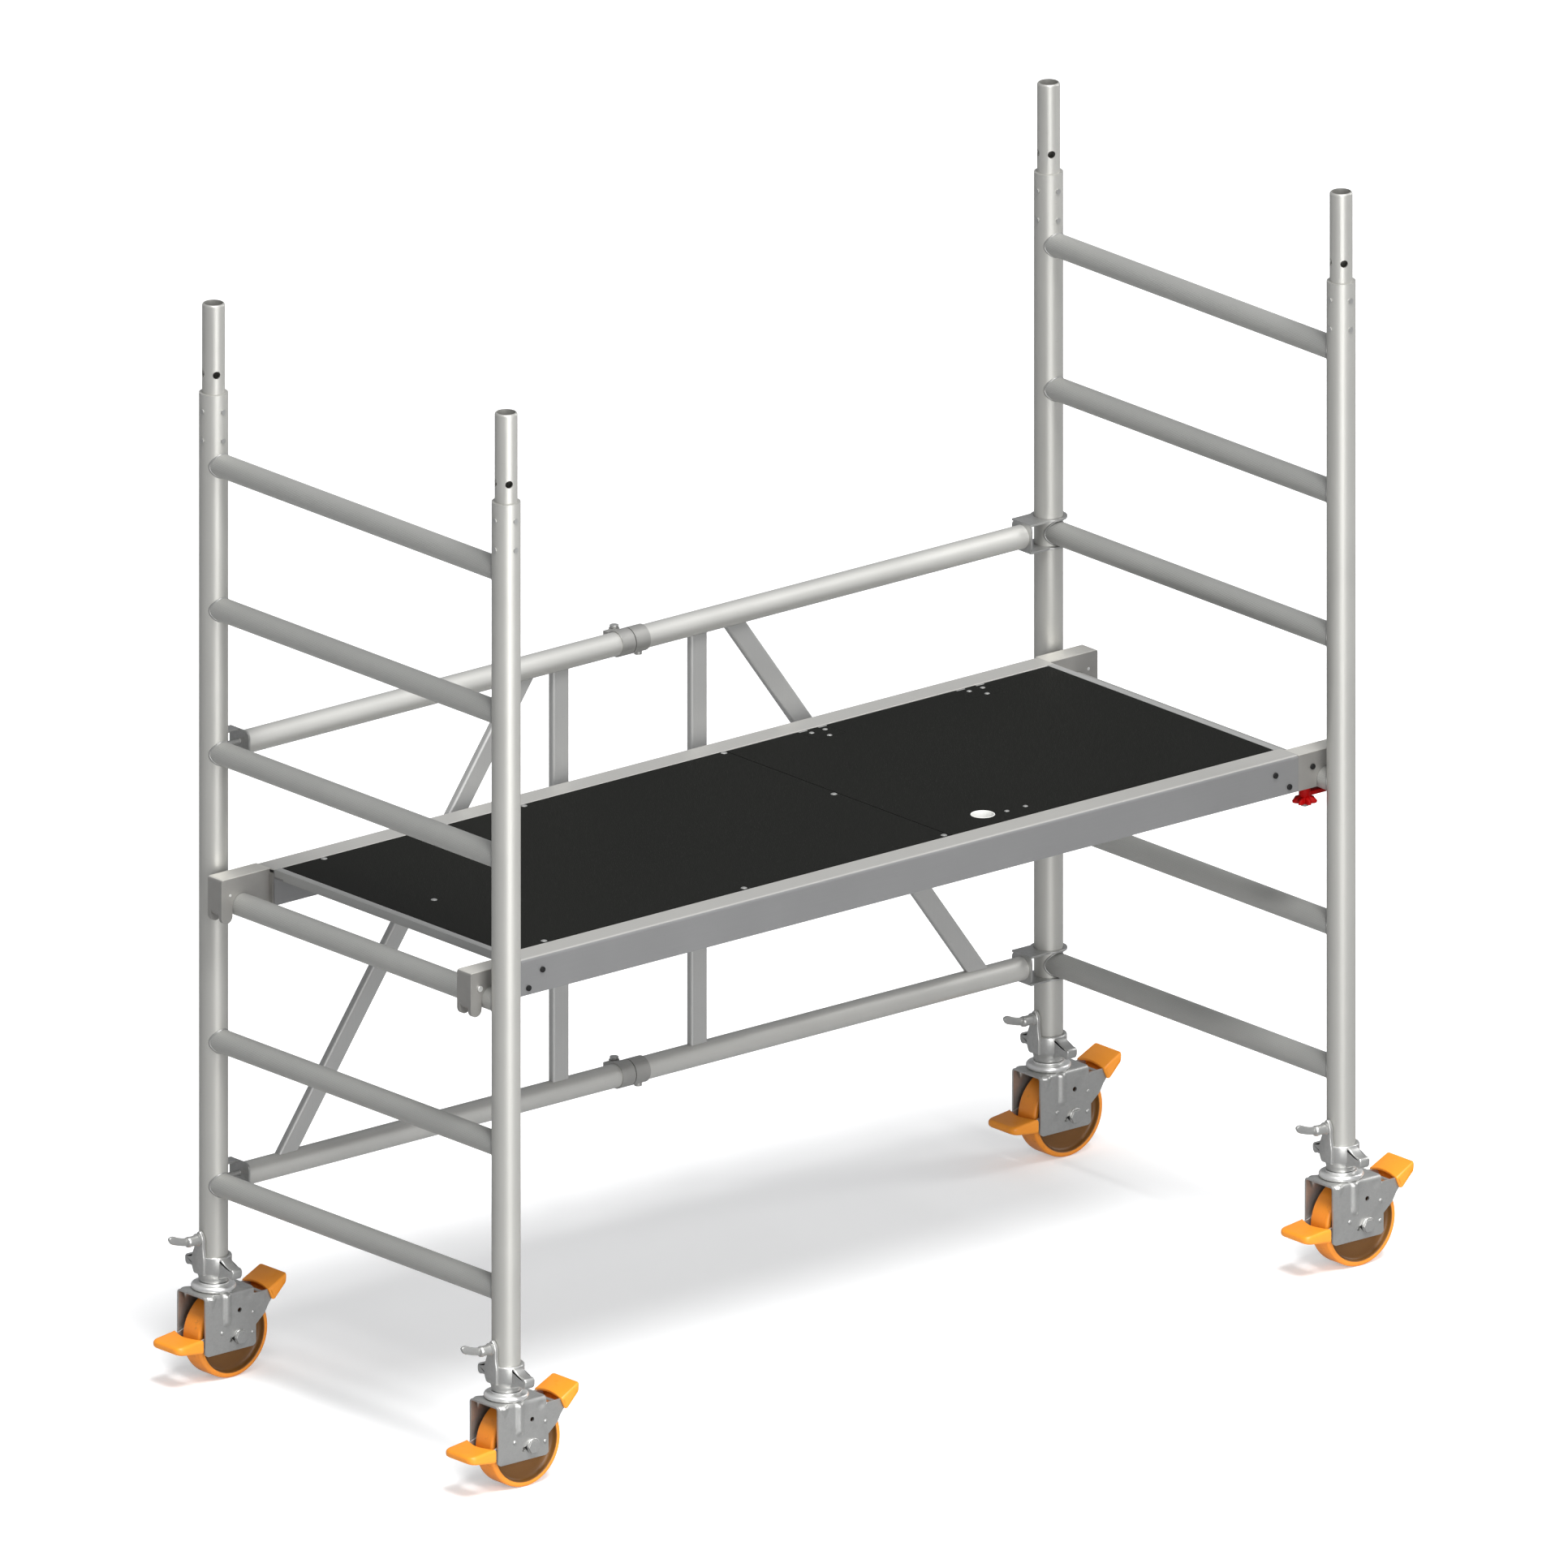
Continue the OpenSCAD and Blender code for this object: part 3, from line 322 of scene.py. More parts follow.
def floor_finish():
    """Pale matt paint that glows a little to the camera alone, so its shadows stay light."""
    f = Finish("studio_floor", Metallic=0.0, Emission_Strength=1.0)
    clouds = f.noise(f.place, 1.3, 3.0)
    seen = f.add("ShaderNodeLightPath", {}, {}, out="Is Camera Ray")
    f.feed(f.shader.inputs["Emission Color"], f.blend(seen, (0.0, 0.0, 0.0), (0.34, 0.34, 0.34)))
    return f.wear(f.blend(clouds, (0.80, 0.80, 0.80), (0.83, 0.83, 0.83)), 0.9 + clouds * 0.05)


# ---- Surfaces ----

def make_mesh(name, points, faces, smooth_under=35.0):
    """A mesh object from points and faces, with edges sharper than smooth_under degrees kept crisp."""
    mesh = bpy.data.meshes.new(name)
    mesh.from_pydata(np.asarray(points, float).tolist(), [], [list(map(int, face)) for face in faces])
    piece = bpy.data.objects.new(name, mesh)
    bpy.context.scene.collection.objects.link(piece)
    tidy_normals(piece, smooth_under)
    return piece


def tidy_normals(piece, smooth_under, merge=1e-6):
    """Merges doubled points, turns every face outwards and marks the crisp edges."""
    shape = bmesh.new()
    shape.from_mesh(piece.data)
    bmesh.ops.remove_doubles(shape, verts=shape.verts, dist=merge)
    bmesh.ops.recalc_face_normals(shape, faces=shape.faces)
    limit = math.radians(smooth_under)
    for face in shape.faces:
        face.smooth = True
    for edge in shape.edges:
        edge.smooth = not (edge.is_manifold and edge.calc_face_angle(0.0) > limit)
    shape.to_mesh(piece.data)
    shape.free()


def grid_faces(rows, columns, wrap_rows=False, wrap_columns=True):
    """Four-sided faces of a grid of points that is numbered row by row."""
    r = np.arange(rows if wrap_rows else rows - 1)[:, None]
    c = np.arange(columns if wrap_columns else columns - 1)[None, :]
    r1, c1 = (r + 1) % rows, (c + 1) % columns
    quads = np.stack([r * columns + c, r * columns + c1, r1 * columns + c1, r1 * columns + c], -1)
    return quads.reshape(-1, 4)


def turned(name, profile, centre, axis, steps=72, smooth_under=35.0):
    """A turned shape: point (i, j) lies profile[i][1] along the axis from centre, and profile[i][0]
    from it at angle j. A profile that starts or ends on the axis closes itself, because its doubled
    points are merged."""
    profile = np.asarray(profile, float)
    along = np.array(Vector(axis).normalized())
    side = np.array(Vector(axis).orthogonal().normalized())
    other = np.cross(along, side)
    angle = np.arange(steps) * 2 * math.pi / steps
    ring = np.cos(angle)[:, None] * side + np.sin(angle)[:, None] * other
    points = np.asarray(centre) + profile[:, None, :1] * ring + profile[:, None, 1:2] * along
    return make_mesh(name, points.reshape(-1, 3), grid_faces(len(profile), steps), smooth_under)


def rounded_outline(corners, radii, steps=6):
    """A closed outline whose corners are arcs: each arc is a quadratic curve from one side to the next."""
    corners = np.asarray(corners, float)
    radii = np.broadcast_to(radii, len(corners))
    t = np.linspace(0, 1, steps)[:, None]
    parts = []
    for i, corner in enumerate(corners):
        back, ahead = corners[i - 1] - corner, corners[(i + 1) % len(corners)] - corner
        reach = min(radii[i], 0.48 * np.linalg.norm(back), 0.48 * np.linalg.norm(ahead))
        a = corner + back / np.linalg.norm(back) * reach
        b = corner + ahead / np.linalg.norm(ahead) * reach
        parts.append((1 - t) ** 2 * a + 2 * t * (1 - t) * corner + t ** 2 * b)
    return np.concatenate(parts)


def inset_of(outline, depth):
    """The outline moved inwards by depth, each point along the bisector of its two sides."""
    ahead = np.roll(outline, -1, 0) - outline
    ahead /= np.maximum(np.linalg.norm(ahead, axis=1, keepdims=True), 1e-12)
    back = np.roll(ahead, 1, 0)
    tangent = ahead + back
    tangent /= np.maximum(np.linalg.norm(tangent, axis=1, keepdims=True), 1e-12)
    u, v = outline[:, 0], outline[:, 1]
    area = 0.5 * np.sum(u * np.roll(v, -1) - np.roll(u, -1) * v)
    inward = np.stack([-tangent[:, 1], tangent[:, 0]], 1) * np.sign(area)
    return outline + inward * depth


def plate(name, outline, low, high, edge, to_space, rows=3, smooth_under=35.0):
    """A flat plate with rounded edges: rings of the outline climb from low to high, and each ring
    near a face is inset so that the edge is a quarter circle of radius edge. to_space turns
    (u, v, height) into (x, y, z)."""
    turn = np.linspace(0, math.pi / 2, rows + 1)
    lower = [(edge * (1 - math.sin(a)), low + edge * (1 - math.cos(a))) for a in turn]
    upper = [(inset, high + low - height) for inset, height in reversed(lower)]
    rings = [np.column_stack([inset_of(outline, inset), np.full(len(outline), height)])
             for inset, height in lower + upper]
    points = to_space(np.concatenate(rings))
    count = len(outline)
    faces = [list(f) for f in grid_faces(len(rings), count)]
    faces += [list(range(count)), list(range(count * (len(rings) - 1), count * len(rings)))]
    return make_mesh(name, points, faces, smooth_under)


def as_it_is(points):
    """(u, v, height) stays (x, y, z) for a plate that lies flat."""
    return points


def across_y(points):
    """(u, v, height) to (x, y, z) for a plate that stands in the X-Z plane."""
    return points[:, [0, 2, 1]]


def pillow(name, outline, low_of, high_of, edge, rows=7, fill=6):
    """A soft-edged pad over a plan outline: rings shrink from the outline to its middle, and the
    height runs from low_of(plan) to high_of(plan). Its edges are quarter circles of radius edge."""
    middle = outline.mean(0)
    shares = [(s, -1.0) for s in np.linspace(0.0, 1.0, fill)[:-1]]
    shares += [(1.0, t) for t in (-1.0, 1.0)]
    shares += [(s, 1.0) for s in np.linspace(1.0, 0.0, fill)[1:]]
    rings = []
    inner = inset_of(outline, edge)
    for share, side in shares:
        if share < 1.0:
            plan = middle + (inner - middle) * share
            low, high = low_of(plan), high_of(plan)
            rings.append(np.column_stack([plan, low if side < 0 else high]))
        else:
            for a in (np.linspace(0, math.pi / 2, rows) if side < 0 else np.linspace(math.pi / 2, 0, rows)):
                plan = inset_of(outline, edge * (1 - math.sin(a)))
                low, high = low_of(plan), high_of(plan)
                lift = edge * (1 - math.cos(a))
                rings.append(np.column_stack([plan, low + lift if side < 0 else high - lift]))
    points = np.concatenate(rings)
    return make_mesh(name, points, grid_faces(len(rings), len(outline)), 60.0)


def tube_path(name, path, radius, steps=20, closed=False):
    """A round rod along a path: a circle at each point, in the plane across the path there."""
    path = np.asarray(path, float)
    ahead = np.roll(path, -1, 0) - np.roll(path, 1, 0) if closed else np.gradient(path, axis=0)
    ahead /= np.linalg.norm(ahead, axis=1, keepdims=True)
    up = np.array([0.0, 0.0, 1.0]) if abs(ahead[:, 2]).max() < 0.9 else np.array([0.31, 0.95, 0.02])
    side = np.cross(ahead, up)
    side /= np.linalg.norm(side, axis=1, keepdims=True)
    other = np.cross(side, ahead)
    angle = np.arange(steps) * 2 * math.pi / steps
    radius = np.broadcast_to(radius, len(path))
    rings = path[:, None] + radius[:, None, None] * (
        np.cos(angle)[None, :, None] * side[:, None] + np.sin(angle)[None, :, None] * other[:, None])
    faces = [list(f) for f in grid_faces(len(path), steps, wrap_rows=closed)]
    if not closed:
        faces += [list(range(steps)), list(range(steps * (len(path) - 1), steps * len(path)))]
    return make_mesh(name, rings.reshape(-1, 3), faces)


def joined(name, pieces, smooth_under=35.0):
    """One object from several: their meshes are put end to end, and their modifiers are applied first."""
    graph = bpy.context.evaluated_depsgraph_get()
    shape = bmesh.new()
    for piece in pieces:
        flat = bpy.data.meshes.new_from_object(piece.evaluated_get(graph))
        shape.from_mesh(flat)
        bpy.data.meshes.remove(flat)
    mesh = bpy.data.meshes.new(name)
    shape.to_mesh(mesh)
    shape.free()
    for piece in pieces:
        bpy.data.objects.remove(piece)
    whole = bpy.data.objects.new(name, mesh)
    bpy.context.scene.collection.objects.link(whole)
    tidy_normals(whole, smooth_under, merge=1e-7)
    return whole


def bevelled(piece, width, segments=2, angle=35.0):
    """Rounds every edge sharper than angle degrees."""
    bevel = piece.modifiers.new("rounded_edges", "BEVEL")
    bevel.width, bevel.segments, bevel.limit_method = width, segments, "ANGLE"
    bevel.angle_limit = math.radians(angle)
    bevel.harden_normals = True
    return piece


def cut_by(piece, cutter):
    """Takes the cutter out of the piece and deletes the cutter."""
    cut = piece.modifiers.new("cut", "BOOLEAN")
    cut.operation, cut.object, cut.solver = "DIFFERENCE", cutter, "EXACT"
    mesh = bpy.data.meshes.new_from_object(piece.evaluated_get(bpy.context.evaluated_depsgraph_get()))
    piece.modifiers.remove(cut)
    piece.data = mesh
    bpy.data.objects.remove(cutter)
    tidy_normals(piece, 30.0)
    return piece


# ---- Pieces onto the frame ----

def paint(piece, material):
    piece.data.materials.clear()
    piece.data.materials.append(material)
    return piece


def stand_in(piece, node, material):
    """A new piece takes a node's place, body and slot."""
    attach(piece, BODY_OF[node])
    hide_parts(node)
    return paint(piece, material)


def extra(piece, near_node, material):
    """A new piece beside a node, on its body and slot."""
    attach(piece, BODY_OF[near_node])
    return paint(piece, material)


def softened(node, material, width, segments=2, angle=35.0, crisp=30.0):
    """The node's own shape with its edges rounded, in the node's place."""
    piece = NODES[node].copy()
    piece.data = NODES[node].data.copy()
    piece.name = node + "_shell"
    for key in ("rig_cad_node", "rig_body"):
        del piece[key]
    piece.parent = None
    bpy.context.scene.collection.objects.link(piece)
    stale = piece.data.attributes.get("custom_normal")
    if stale:
        piece.data.attributes.remove(stale)
    shape = bmesh.new()
    shape.from_mesh(piece.data)
    bmesh.ops.remove_doubles(shape, verts=shape.verts, dist=2e-6)
    bmesh.ops.dissolve_limit(shape, angle_limit=math.radians(1.0), verts=shape.verts, edges=shape.edges)
    for face in shape.faces:
        face.smooth = True
    limit = math.radians(crisp)
    for edge in shape.edges:
        edge.smooth = not (edge.is_manifold and edge.calc_face_angle(0.0) > limit)
    shape.to_mesh(piece.data)
    shape.free()
    stand_in(piece, node, material)
    return bevelled(piece, width, segments, angle)


# ---- Finishes ----

upright_tube = tube_finish("upright_tube", "Z")
brace_tube = tube_finish("brace_tube", "X", (0.66, 0.655, 0.625))
brace_bar = tube_finish("brace_bar", "Z", (0.50, 0.50, 0.49), 0.10)
ribbed_rung = rung_finish()
# deck rail: a dark side tone and a top painted far lighter: painted shade on the sides, painted light on
# the top
deck_rail = tube_finish("deck_rail", "X", (0.31, 0.31, 0.31), -0.06, (0.62, 0.61, 0.58))
deck_beam = tube_finish("deck_beam", "Y", (0.50, 0.50, 0.49), 0.08)
cast_aluminium = cast_finish("cast_aluminium", (0.47, 0.465, 0.445))
# claws: a darker side tone and a top painted far lighter: painted shade on the sides, painted light on the
# top
claw_cast = cast_finish("claw_cast", (0.40, 0.39, 0.37), (0.88, 0.86, 0.80))
weld_metal = cast_finish("weld_metal", (0.40, 0.40, 0.39))
zinc = zinc_finish("zinc_plate", (0.54, 0.54, 0.525))
# a darker copy of zinc for the upright brackets: painted shade
painted_shade_zinc = zinc_finish("bracket_zinc_painted_shade", (0.46, 0.46, 0.45))
# a much paler copy of zinc: on the swivel dishes a painted highlight; it also colours the claw bolts' faces
# beyond the rungs
bright_zinc_and_painted_highlight = zinc_finish("bright_zinc_and_painted_highlight", (0.88, 0.88, 0.865))
black_oxide = black_finish()
deck_film = film_finish()
pedal_orange = moulded_finish("pedal_orange", (0.87, 0.31, 0.020), (0.74, 0.22, 0.011), 0.40)
wheel_orange = wheel_finish()
# pale nylon for the finger hole's sleeve: painted light, standing in for the bright floor seen through the
# hole
pale_nylon_painted_light = moulded_finish("pale_nylon_painted_light", (0.80, 0.80, 0.77), (0.66, 0.66, 0.63), 0.45)
lock_red = moulded_finish("lock_red", (0.33, 0.0004, 0.0004), (0.10, 0.0003, 0.0003), 0.50, 1300.0, 0.10)


# ---- Castors ----

def castor_at(corner):
    """The point on the ground under a corner's upright."""
    centre = middle(corner + "_upright")
    return np.array([centre.x, centre.y, 0.0])


def shifted(piece, place):
    """The piece with its mesh moved by place."""
    piece.data.transform(Matrix.Translation(Vector(place)))
    return piece


def bump_of(distance, half_width):
    """A smooth hump: 1 in the middle and 0 from half_width on."""
    return np.cos(np.clip(np.abs(distance) / half_width, 0, 1) * math.pi / 2) ** 2


def fork_sheet():
    """The pressed fork: a U-shaped section with rounded bends, carried along X. Point (i, j) lies at
    share j between the front and rear edges of the cheek at the section's height i, pushed out over
    the rib and the gusset by cosine humps and in over the dent."""
    bend, foot, thick = 0.007, WHEEL_R - 0.022, 0.0035
    heights = np.linspace(foot, CROWN - bend, 44)
    turn = np.linspace(0, math.pi / 2, 9)[1:]
    flat = np.linspace(-(FORK_HALF - bend), FORK_HALF - bend, 14)[1:-1]
    left = [(-FORK_HALF, z) for z in heights]
    corner = [(-FORK_HALF + bend * (1 - math.cos(a)), CROWN - bend + bend * math.sin(a)) for a in turn]
    half = left + corner
    section = np.array(half + [(y, CROWN) for y in flat] + [(-y, z) for y, z in reversed(half)])
    y, z = section[:, :1], section[:, 1:]
    foot_round = 0.006
    rounding = foot_round * np.clip((foot + foot_round - z) / foot_round, 0, 1) ** 2
    front = -0.048 + rounding
    rear = 0.061 - 0.005 * np.clip((z - WHEEL_R - 0.011) / 0.06, 0, 1) - rounding
    share = (1 - np.cos(np.linspace(0, math.pi, 72)))[None, :] / 2
    x = front + (rear - front) * share
    out = np.sign(y) * (np.abs(y) > FORK_HALF - bend)
    rib_foot = np.clip((z - 0.099) / 0.006, 0, 1)
    rib_head = np.clip((CROWN + 0.001 - z) / 0.008, 0, 1)
    rib = 0.0044 * np.sqrt(bump_of(x + 0.001, 0.0085)) * np.sqrt(rib_foot) * rib_head ** 0.3
    taper = np.clip((z - 0.1335) / 0.018, 0, 1)
    gusset = 0.0046 * taper * np.sqrt(bump_of(x + 0.0335, 0.0025 + 0.0065 * taper))
    dent = -0.0016 * bump_of(x - 0.044, 0.012) * bump_of(z - 0.142, 0.010)
    yy = y + out * (rib + gusset + dent)
    points = np.stack([x, yy + 0 * x, z + 0 * x], -1).reshape(-1, 3)
    piece = make_mesh("fork_sheet", points, grid_faces(len(section), share.size, wrap_columns=False), 60.0)
    wall = piece.modifiers.new("sheet", "SOLIDIFY")
    wall.thickness = thick
    outward = piece.data.polygons[len(piece.data.polygons) // 2].normal.z
    wall.offset = -1.0 if outward > 0 else 1.0
    return bevelled(piece, 0.0009, 2, 60.0)


def rivet_head(place, radius, height, out):
    """A low dome: its profile is a quarter ellipse."""
    a = np.linspace(0, math.pi / 2, 7)
    profile = [(0.0, -0.001), (radius, -0.001)] + [(radius * math.cos(t), height * math.sin(t)) for t in a]
    return turned("rivet", profile, place, (0, out, 0), 20)


def fork(corner):
    """The pressed sheet with its holes, rivets and axle cups, thin black sheets beside the axle that are
    painted shade, and the dish of the ball race in pale zinc as a painted highlight."""
    base = castor_at(corner)
    sheet = fork_sheet()
    for x, z, r in ((0.0258, 0.1209, 0.0042), (0.0080, 0.0720, 0.0040)):
        cutter = turned("hole", [(0, -0.06), (r, -0.06), (r, 0.06), (0, 0.06)], (x, 0, z), (0, 1, 0), 24)
        sheet = joined("fork_sheet", [sheet], 30.0) if sheet.modifiers else sheet
        sheet = cut_by(sheet, cutter)
    edge = [(0.0375 - 0.0050 * (1 - math.cos(t)), 0.1612 + 0.0050 * math.sin(t)) for t in
            np.linspace(-math.pi / 2, math.pi / 2, 9)]
    dish = [(0.012, CROWN - 0.001), (0.0352, CROWN - 0.001)] + edge + [
        (0.0290, 0.1668), (0.0262, 0.1676), (0.0262, 0.1696), (0.0090, 0.1699), (0.0090, 0.1600)]
    parts = [sheet]
    for side in (-1, 1):
        for x, z in ((-0.012, 0.088), (0.0535, 0.077), (0.0545, 0.1115)):
            parts.append(rivet_head((x, side * FORK_HALF, z), 0.0036, 0.0020, side))
        cup = [(0.0, -0.001), (0.0132, -0.001), (0.0132, 0.0024), (0.0122, 0.0034), (0.0108, 0.0034),
               (0.0060, 0.0010), (0.0, 0.0004)]
        at = (TRAIL + 0.002, side * FORK_HALF, WHEEL_R)
        parts.append(turned("axle_cup", cup, at, (0, side, 0), 40, 40.0))
    whole = joined(corner + "_fork_shell", parts)
    stand_in(shifted(whole, base), corner + "_fork", zinc)
    # thin black sheets on the cheeks beside the axle cups: painted shade
    slot = rounded_outline([(0.0085, 0.0760), (0.0195, 0.0790), (0.0170, 0.0660)], 0.0012, 4)
    skin = (FORK_HALF - 0.0010, FORK_HALF + 0.0004)
    shade_sheets = [plate("slot", slot, *sorted(side * y for y in skin), 0.0001, across_y) for side in (-1, 1)]
    extra(shifted(joined(corner + "_axle_painted_shade", shade_sheets), base), corner + "_fork", black_oxide)
    # the ball race's dish takes the pale zinc: painted highlight
    bright = turned(corner + "_swivel_dish", dish, base, (0, 0, 1), 72, 50.0)
    extra(bright, corner + "_fork", bright_zinc_and_painted_highlight)


def wheel(corner):
    """Turned about the axle: hub, dished web, rim lip and a tread with rounded shoulders."""
    h, hub = 0.022, size(corner + "_wheel").y / 2
    shoulder = [(WHEEL_R - 0.005 + 0.005 * math.sin(a), h - 0.005 + 0.005 * math.cos(a))
                for a in np.linspace(0, math.pi / 2, 7)]
    half = [(0.00615, hub), (0.0170, hub), (0.0182, hub - 0.0006), (0.0190, hub - 0.002), (0.0205, 0.0160),
            (0.0225, 0.0140), (0.0300, 0.0125), (0.0520, 0.0118), (0.0600, 0.0125), (0.0632, 0.0142),
            (0.0648, 0.0175), (0.0653, 0.0208), (0.0660, h - 0.0003), (0.0672, h)] + shoulder
    profile = half + [(r, -y) for r, y in reversed(half)]
    profile.append(profile[0])
    at = castor_at(corner) + (TRAIL, 0, WHEEL_R)
    moulding = turned(corner + "_wheel_moulding", profile, at, (0, 1, 0), 128, 40.0)
    stand_in(moulding, corner + "_wheel", wheel_orange)


def front_pedal(base):
    """A tread pad whose inner edge is hollowed round the wheel; its top falls a little towards the tip."""
    tip, root, half = TRAIL - WHEEL_R - 0.056, TRAIL - WHEEL_R - 0.002, FORK_HALF
    across = np.linspace(-1, 1, 25)
    inner = np.column_stack([root - 0.010 * np.cos(across * math.pi / 2) ** 1.3, across * half])
    square = [(root, half), (tip, half), (tip, -half), (root, -half)]
    tip_corners = rounded_outline(square, [0, 0.015, 0.015, 0], 9)
    outline = np.concatenate([inner, tip_corners[(tip_corners[:, 0] < root - 0.0005)]])

    def high(plan):
        share = np.clip((root - plan[:, 0]) / (root - tip), 0, 1)
        return WHEEL_R + 0.0110 - 0.006 * share - 0.0012 * (plan[:, 1] / half) ** 2

    def low(plan):
        share = np.clip((root - plan[:, 0]) / (root - tip), 0, 1)
        return WHEEL_R - 0.0150 + 0.0070 * share ** 1.4

    return shifted(pillow("front_pedal", outline, low, high, 0.0052), base)


def sliced_across(piece, cuts=9):
    """The piece cut through by planes across Y, so that its flat faces can be bent."""
    shape = bmesh.new()
    shape.from_mesh(piece.data)
    for y in np.linspace(-FORK_HALF, FORK_HALF, cuts + 2)[1:-1]:
        bmesh.ops.bisect_plane(shape, geom=shape.verts[:] + shape.edges[:] + shape.faces[:],
                               plane_co=(0, y, 0), plane_no=(0, 1, 0))
    shape.to_mesh(piece.data)
    shape.free()
    return piece


def rear_pedal(base):
    """A thick wedge across the castor, hollow in front: its side view is one rounded outline, its
    plan narrows to rounded rear corners along an ellipse, and its top rises to a crown towards the
    front edge as a parabola of y."""
    x0, z0 = TRAIL + WHEEL_R, CROWN - 0.0035
    corners = [(-0.0100, -0.0105), (-0.0095, -0.0150), (-0.0025, -0.0300), (0.0030, -0.0298),
               (0.0312, -0.0040), (0.0340, 0.0060), (0.0290, 0.0108)]
    outline = rounded_outline([(x0 + x, z0 + z) for x, z in corners],
                              [0.0015, 0.002, 0.004, 0.004, 0.008, 0.009, 0.008], 9)
    piece = plate("rear_pedal", outline, -FORK_HALF, FORK_HALF, 0.0040, across_y, 12, 60.0)
    hollow = rounded_outline([(x0 + x, z0 + z) for x, z in
                              ((-0.0150, -0.0150), (-0.0150, -0.0340), (0.0000, -0.0340), (0.0040, -0.0255),
                               (0.0240, -0.0055), (0.0225, 0.0030), (-0.0080, -0.0142))],
                             [0.001, 0.001, 0.002, 0.004, 0.004, 0.004, 0.002], 6)
    wall = 0.0038
    cutter = plate("hollow", hollow, -FORK_HALF + wall, FORK_HALF - wall, 0.0012, across_y, 12, 60.0)
    piece = cut_by(sliced_across(piece), sliced_across(cutter))
    points = np.array([vertex.co[:] for vertex in piece.data.vertices])
    corner_from, corner_length, narrowing = x0 + 0.0190, 0.0150, 0.42
    beyond = np.clip((points[:, 0] - corner_from) / corner_length, 0, 1)
    points[:, 1] *= 1 - narrowing * (1 - np.sqrt(1 - 0.97 * beyond ** 2))
    crown_height, crown_end, crown_length = 0.0075, x0 + 0.030, 0.040
    crown = 1 - (points[:, 1] / FORK_HALF) ** 2
    points[:, 2] += crown_height * crown * np.clip((crown_end - points[:, 0]) / crown_length, 0, 1)
    piece.data.vertices.foreach_set("co", points.ravel())
    return shifted(piece, base)


def pedals(corner):
    """Both foot pads of a corner's brake as one moulding."""
    base = castor_at(corner)
    whole = joined(corner + "_pedal_mouldings", [front_pedal(base), rear_pedal(base)], 50.0)
    stand_in(whole, corner + "_pedals", pedal_orange)


def along_x(points):
    """(u, v, height) to (x, y, z) for a plate that stands in the Y-Z plane."""
    return points[:, [2, 0, 1]]


def collar(corner):
    """The cast clamp on the tube's foot: a flared cup, two stepped lobes along Y, the ear that the
    wing screw goes through, and the head of the king pin."""
    base = castor_at(corner)
    inner = TUBE_D / 2 + 0.00015
    foot, rim = CROWN + 0.0143, CROWN + 0.0603
    cup = [(0.0, foot - 0.004), (0.0080, foot - 0.004), (0.0080, foot), (0.0240, foot),
           (0.0250, foot + 0.001), (0.0250, foot + 0.006), (0.0262, foot + 0.010),
           (0.0290, foot + 0.015), (0.0304, foot + 0.020), (0.0304, rim - 0.0030),
           (0.0298, rim - 0.0010), (0.0284, rim), (0.0262, rim), (inner, rim - 0.0014),
           (inner, foot + 0.012), (0.0, foot + 0.012)]
    head = [(0.0, -0.0078), (0.0120, -0.0078), (0.0150, -0.0060), (0.0150, -0.0042), (0.0, -0.0042)]
    parts = [turned("cup", cup, base, (0, 0, 1), 72, 40.0),
             turned("king_head", head, base + (0, 0, foot), (0, 0, 1), 32)]
    step = [(0.018, 0.0450), (0.031, 0.0440), (0.039, 0.0375), (0.048, 0.0335), (0.0588, 0.0325),
            (0.0619, 0.0290), (0.0616, 0.0190), (0.0570, 0.0135), (0.0470, 0.0165), (0.0380, 0.0125),
            (0.0290, 0.0090), (0.018, 0.0080)]
    step_rounds = [0, 0.006, 0.005, 0.006, 0.004, 0.005, 0.005, 0.005, 0.006, 0.004, 0.004, 0]
    for side in (-1, 1):
        outline = rounded_outline([(side * y, foot + z) for y, z in step], step_rounds, 6)
        parts.append(shifted(plate("lobe", outline, -0.0110, 0.0110, 0.0030, along_x, 3, 50.0), base))
    ear = [(-0.0130, 0.0150), (-0.0130, 0.0420), (-0.0100, 0.0580), (-0.0098, 0.0800), (0.0, 0.0935),
           (0.0098, 0.0800), (0.0108, 0.0640), (0.0150, 0.0540), (0.0188, 0.0430), (0.0188, 0.0270),
           (0.0130, 0.0150)]
    ear_rounds = [0.003, 0.006, 0.008, 0.009, 0.008, 0.009, 0.006, 0.006, 0.006, 0.006, 0.003]
    outline = rounded_outline([(y, foot + z) for y, z in ear], ear_rounds, 7)
    outside = -TUBE_D / 2 - 0.0085
    parts.append(shifted(plate("ear", outline, outside, outside + 0.0080, 0.0022, along_x, 3, 50.0), base))
    return parts


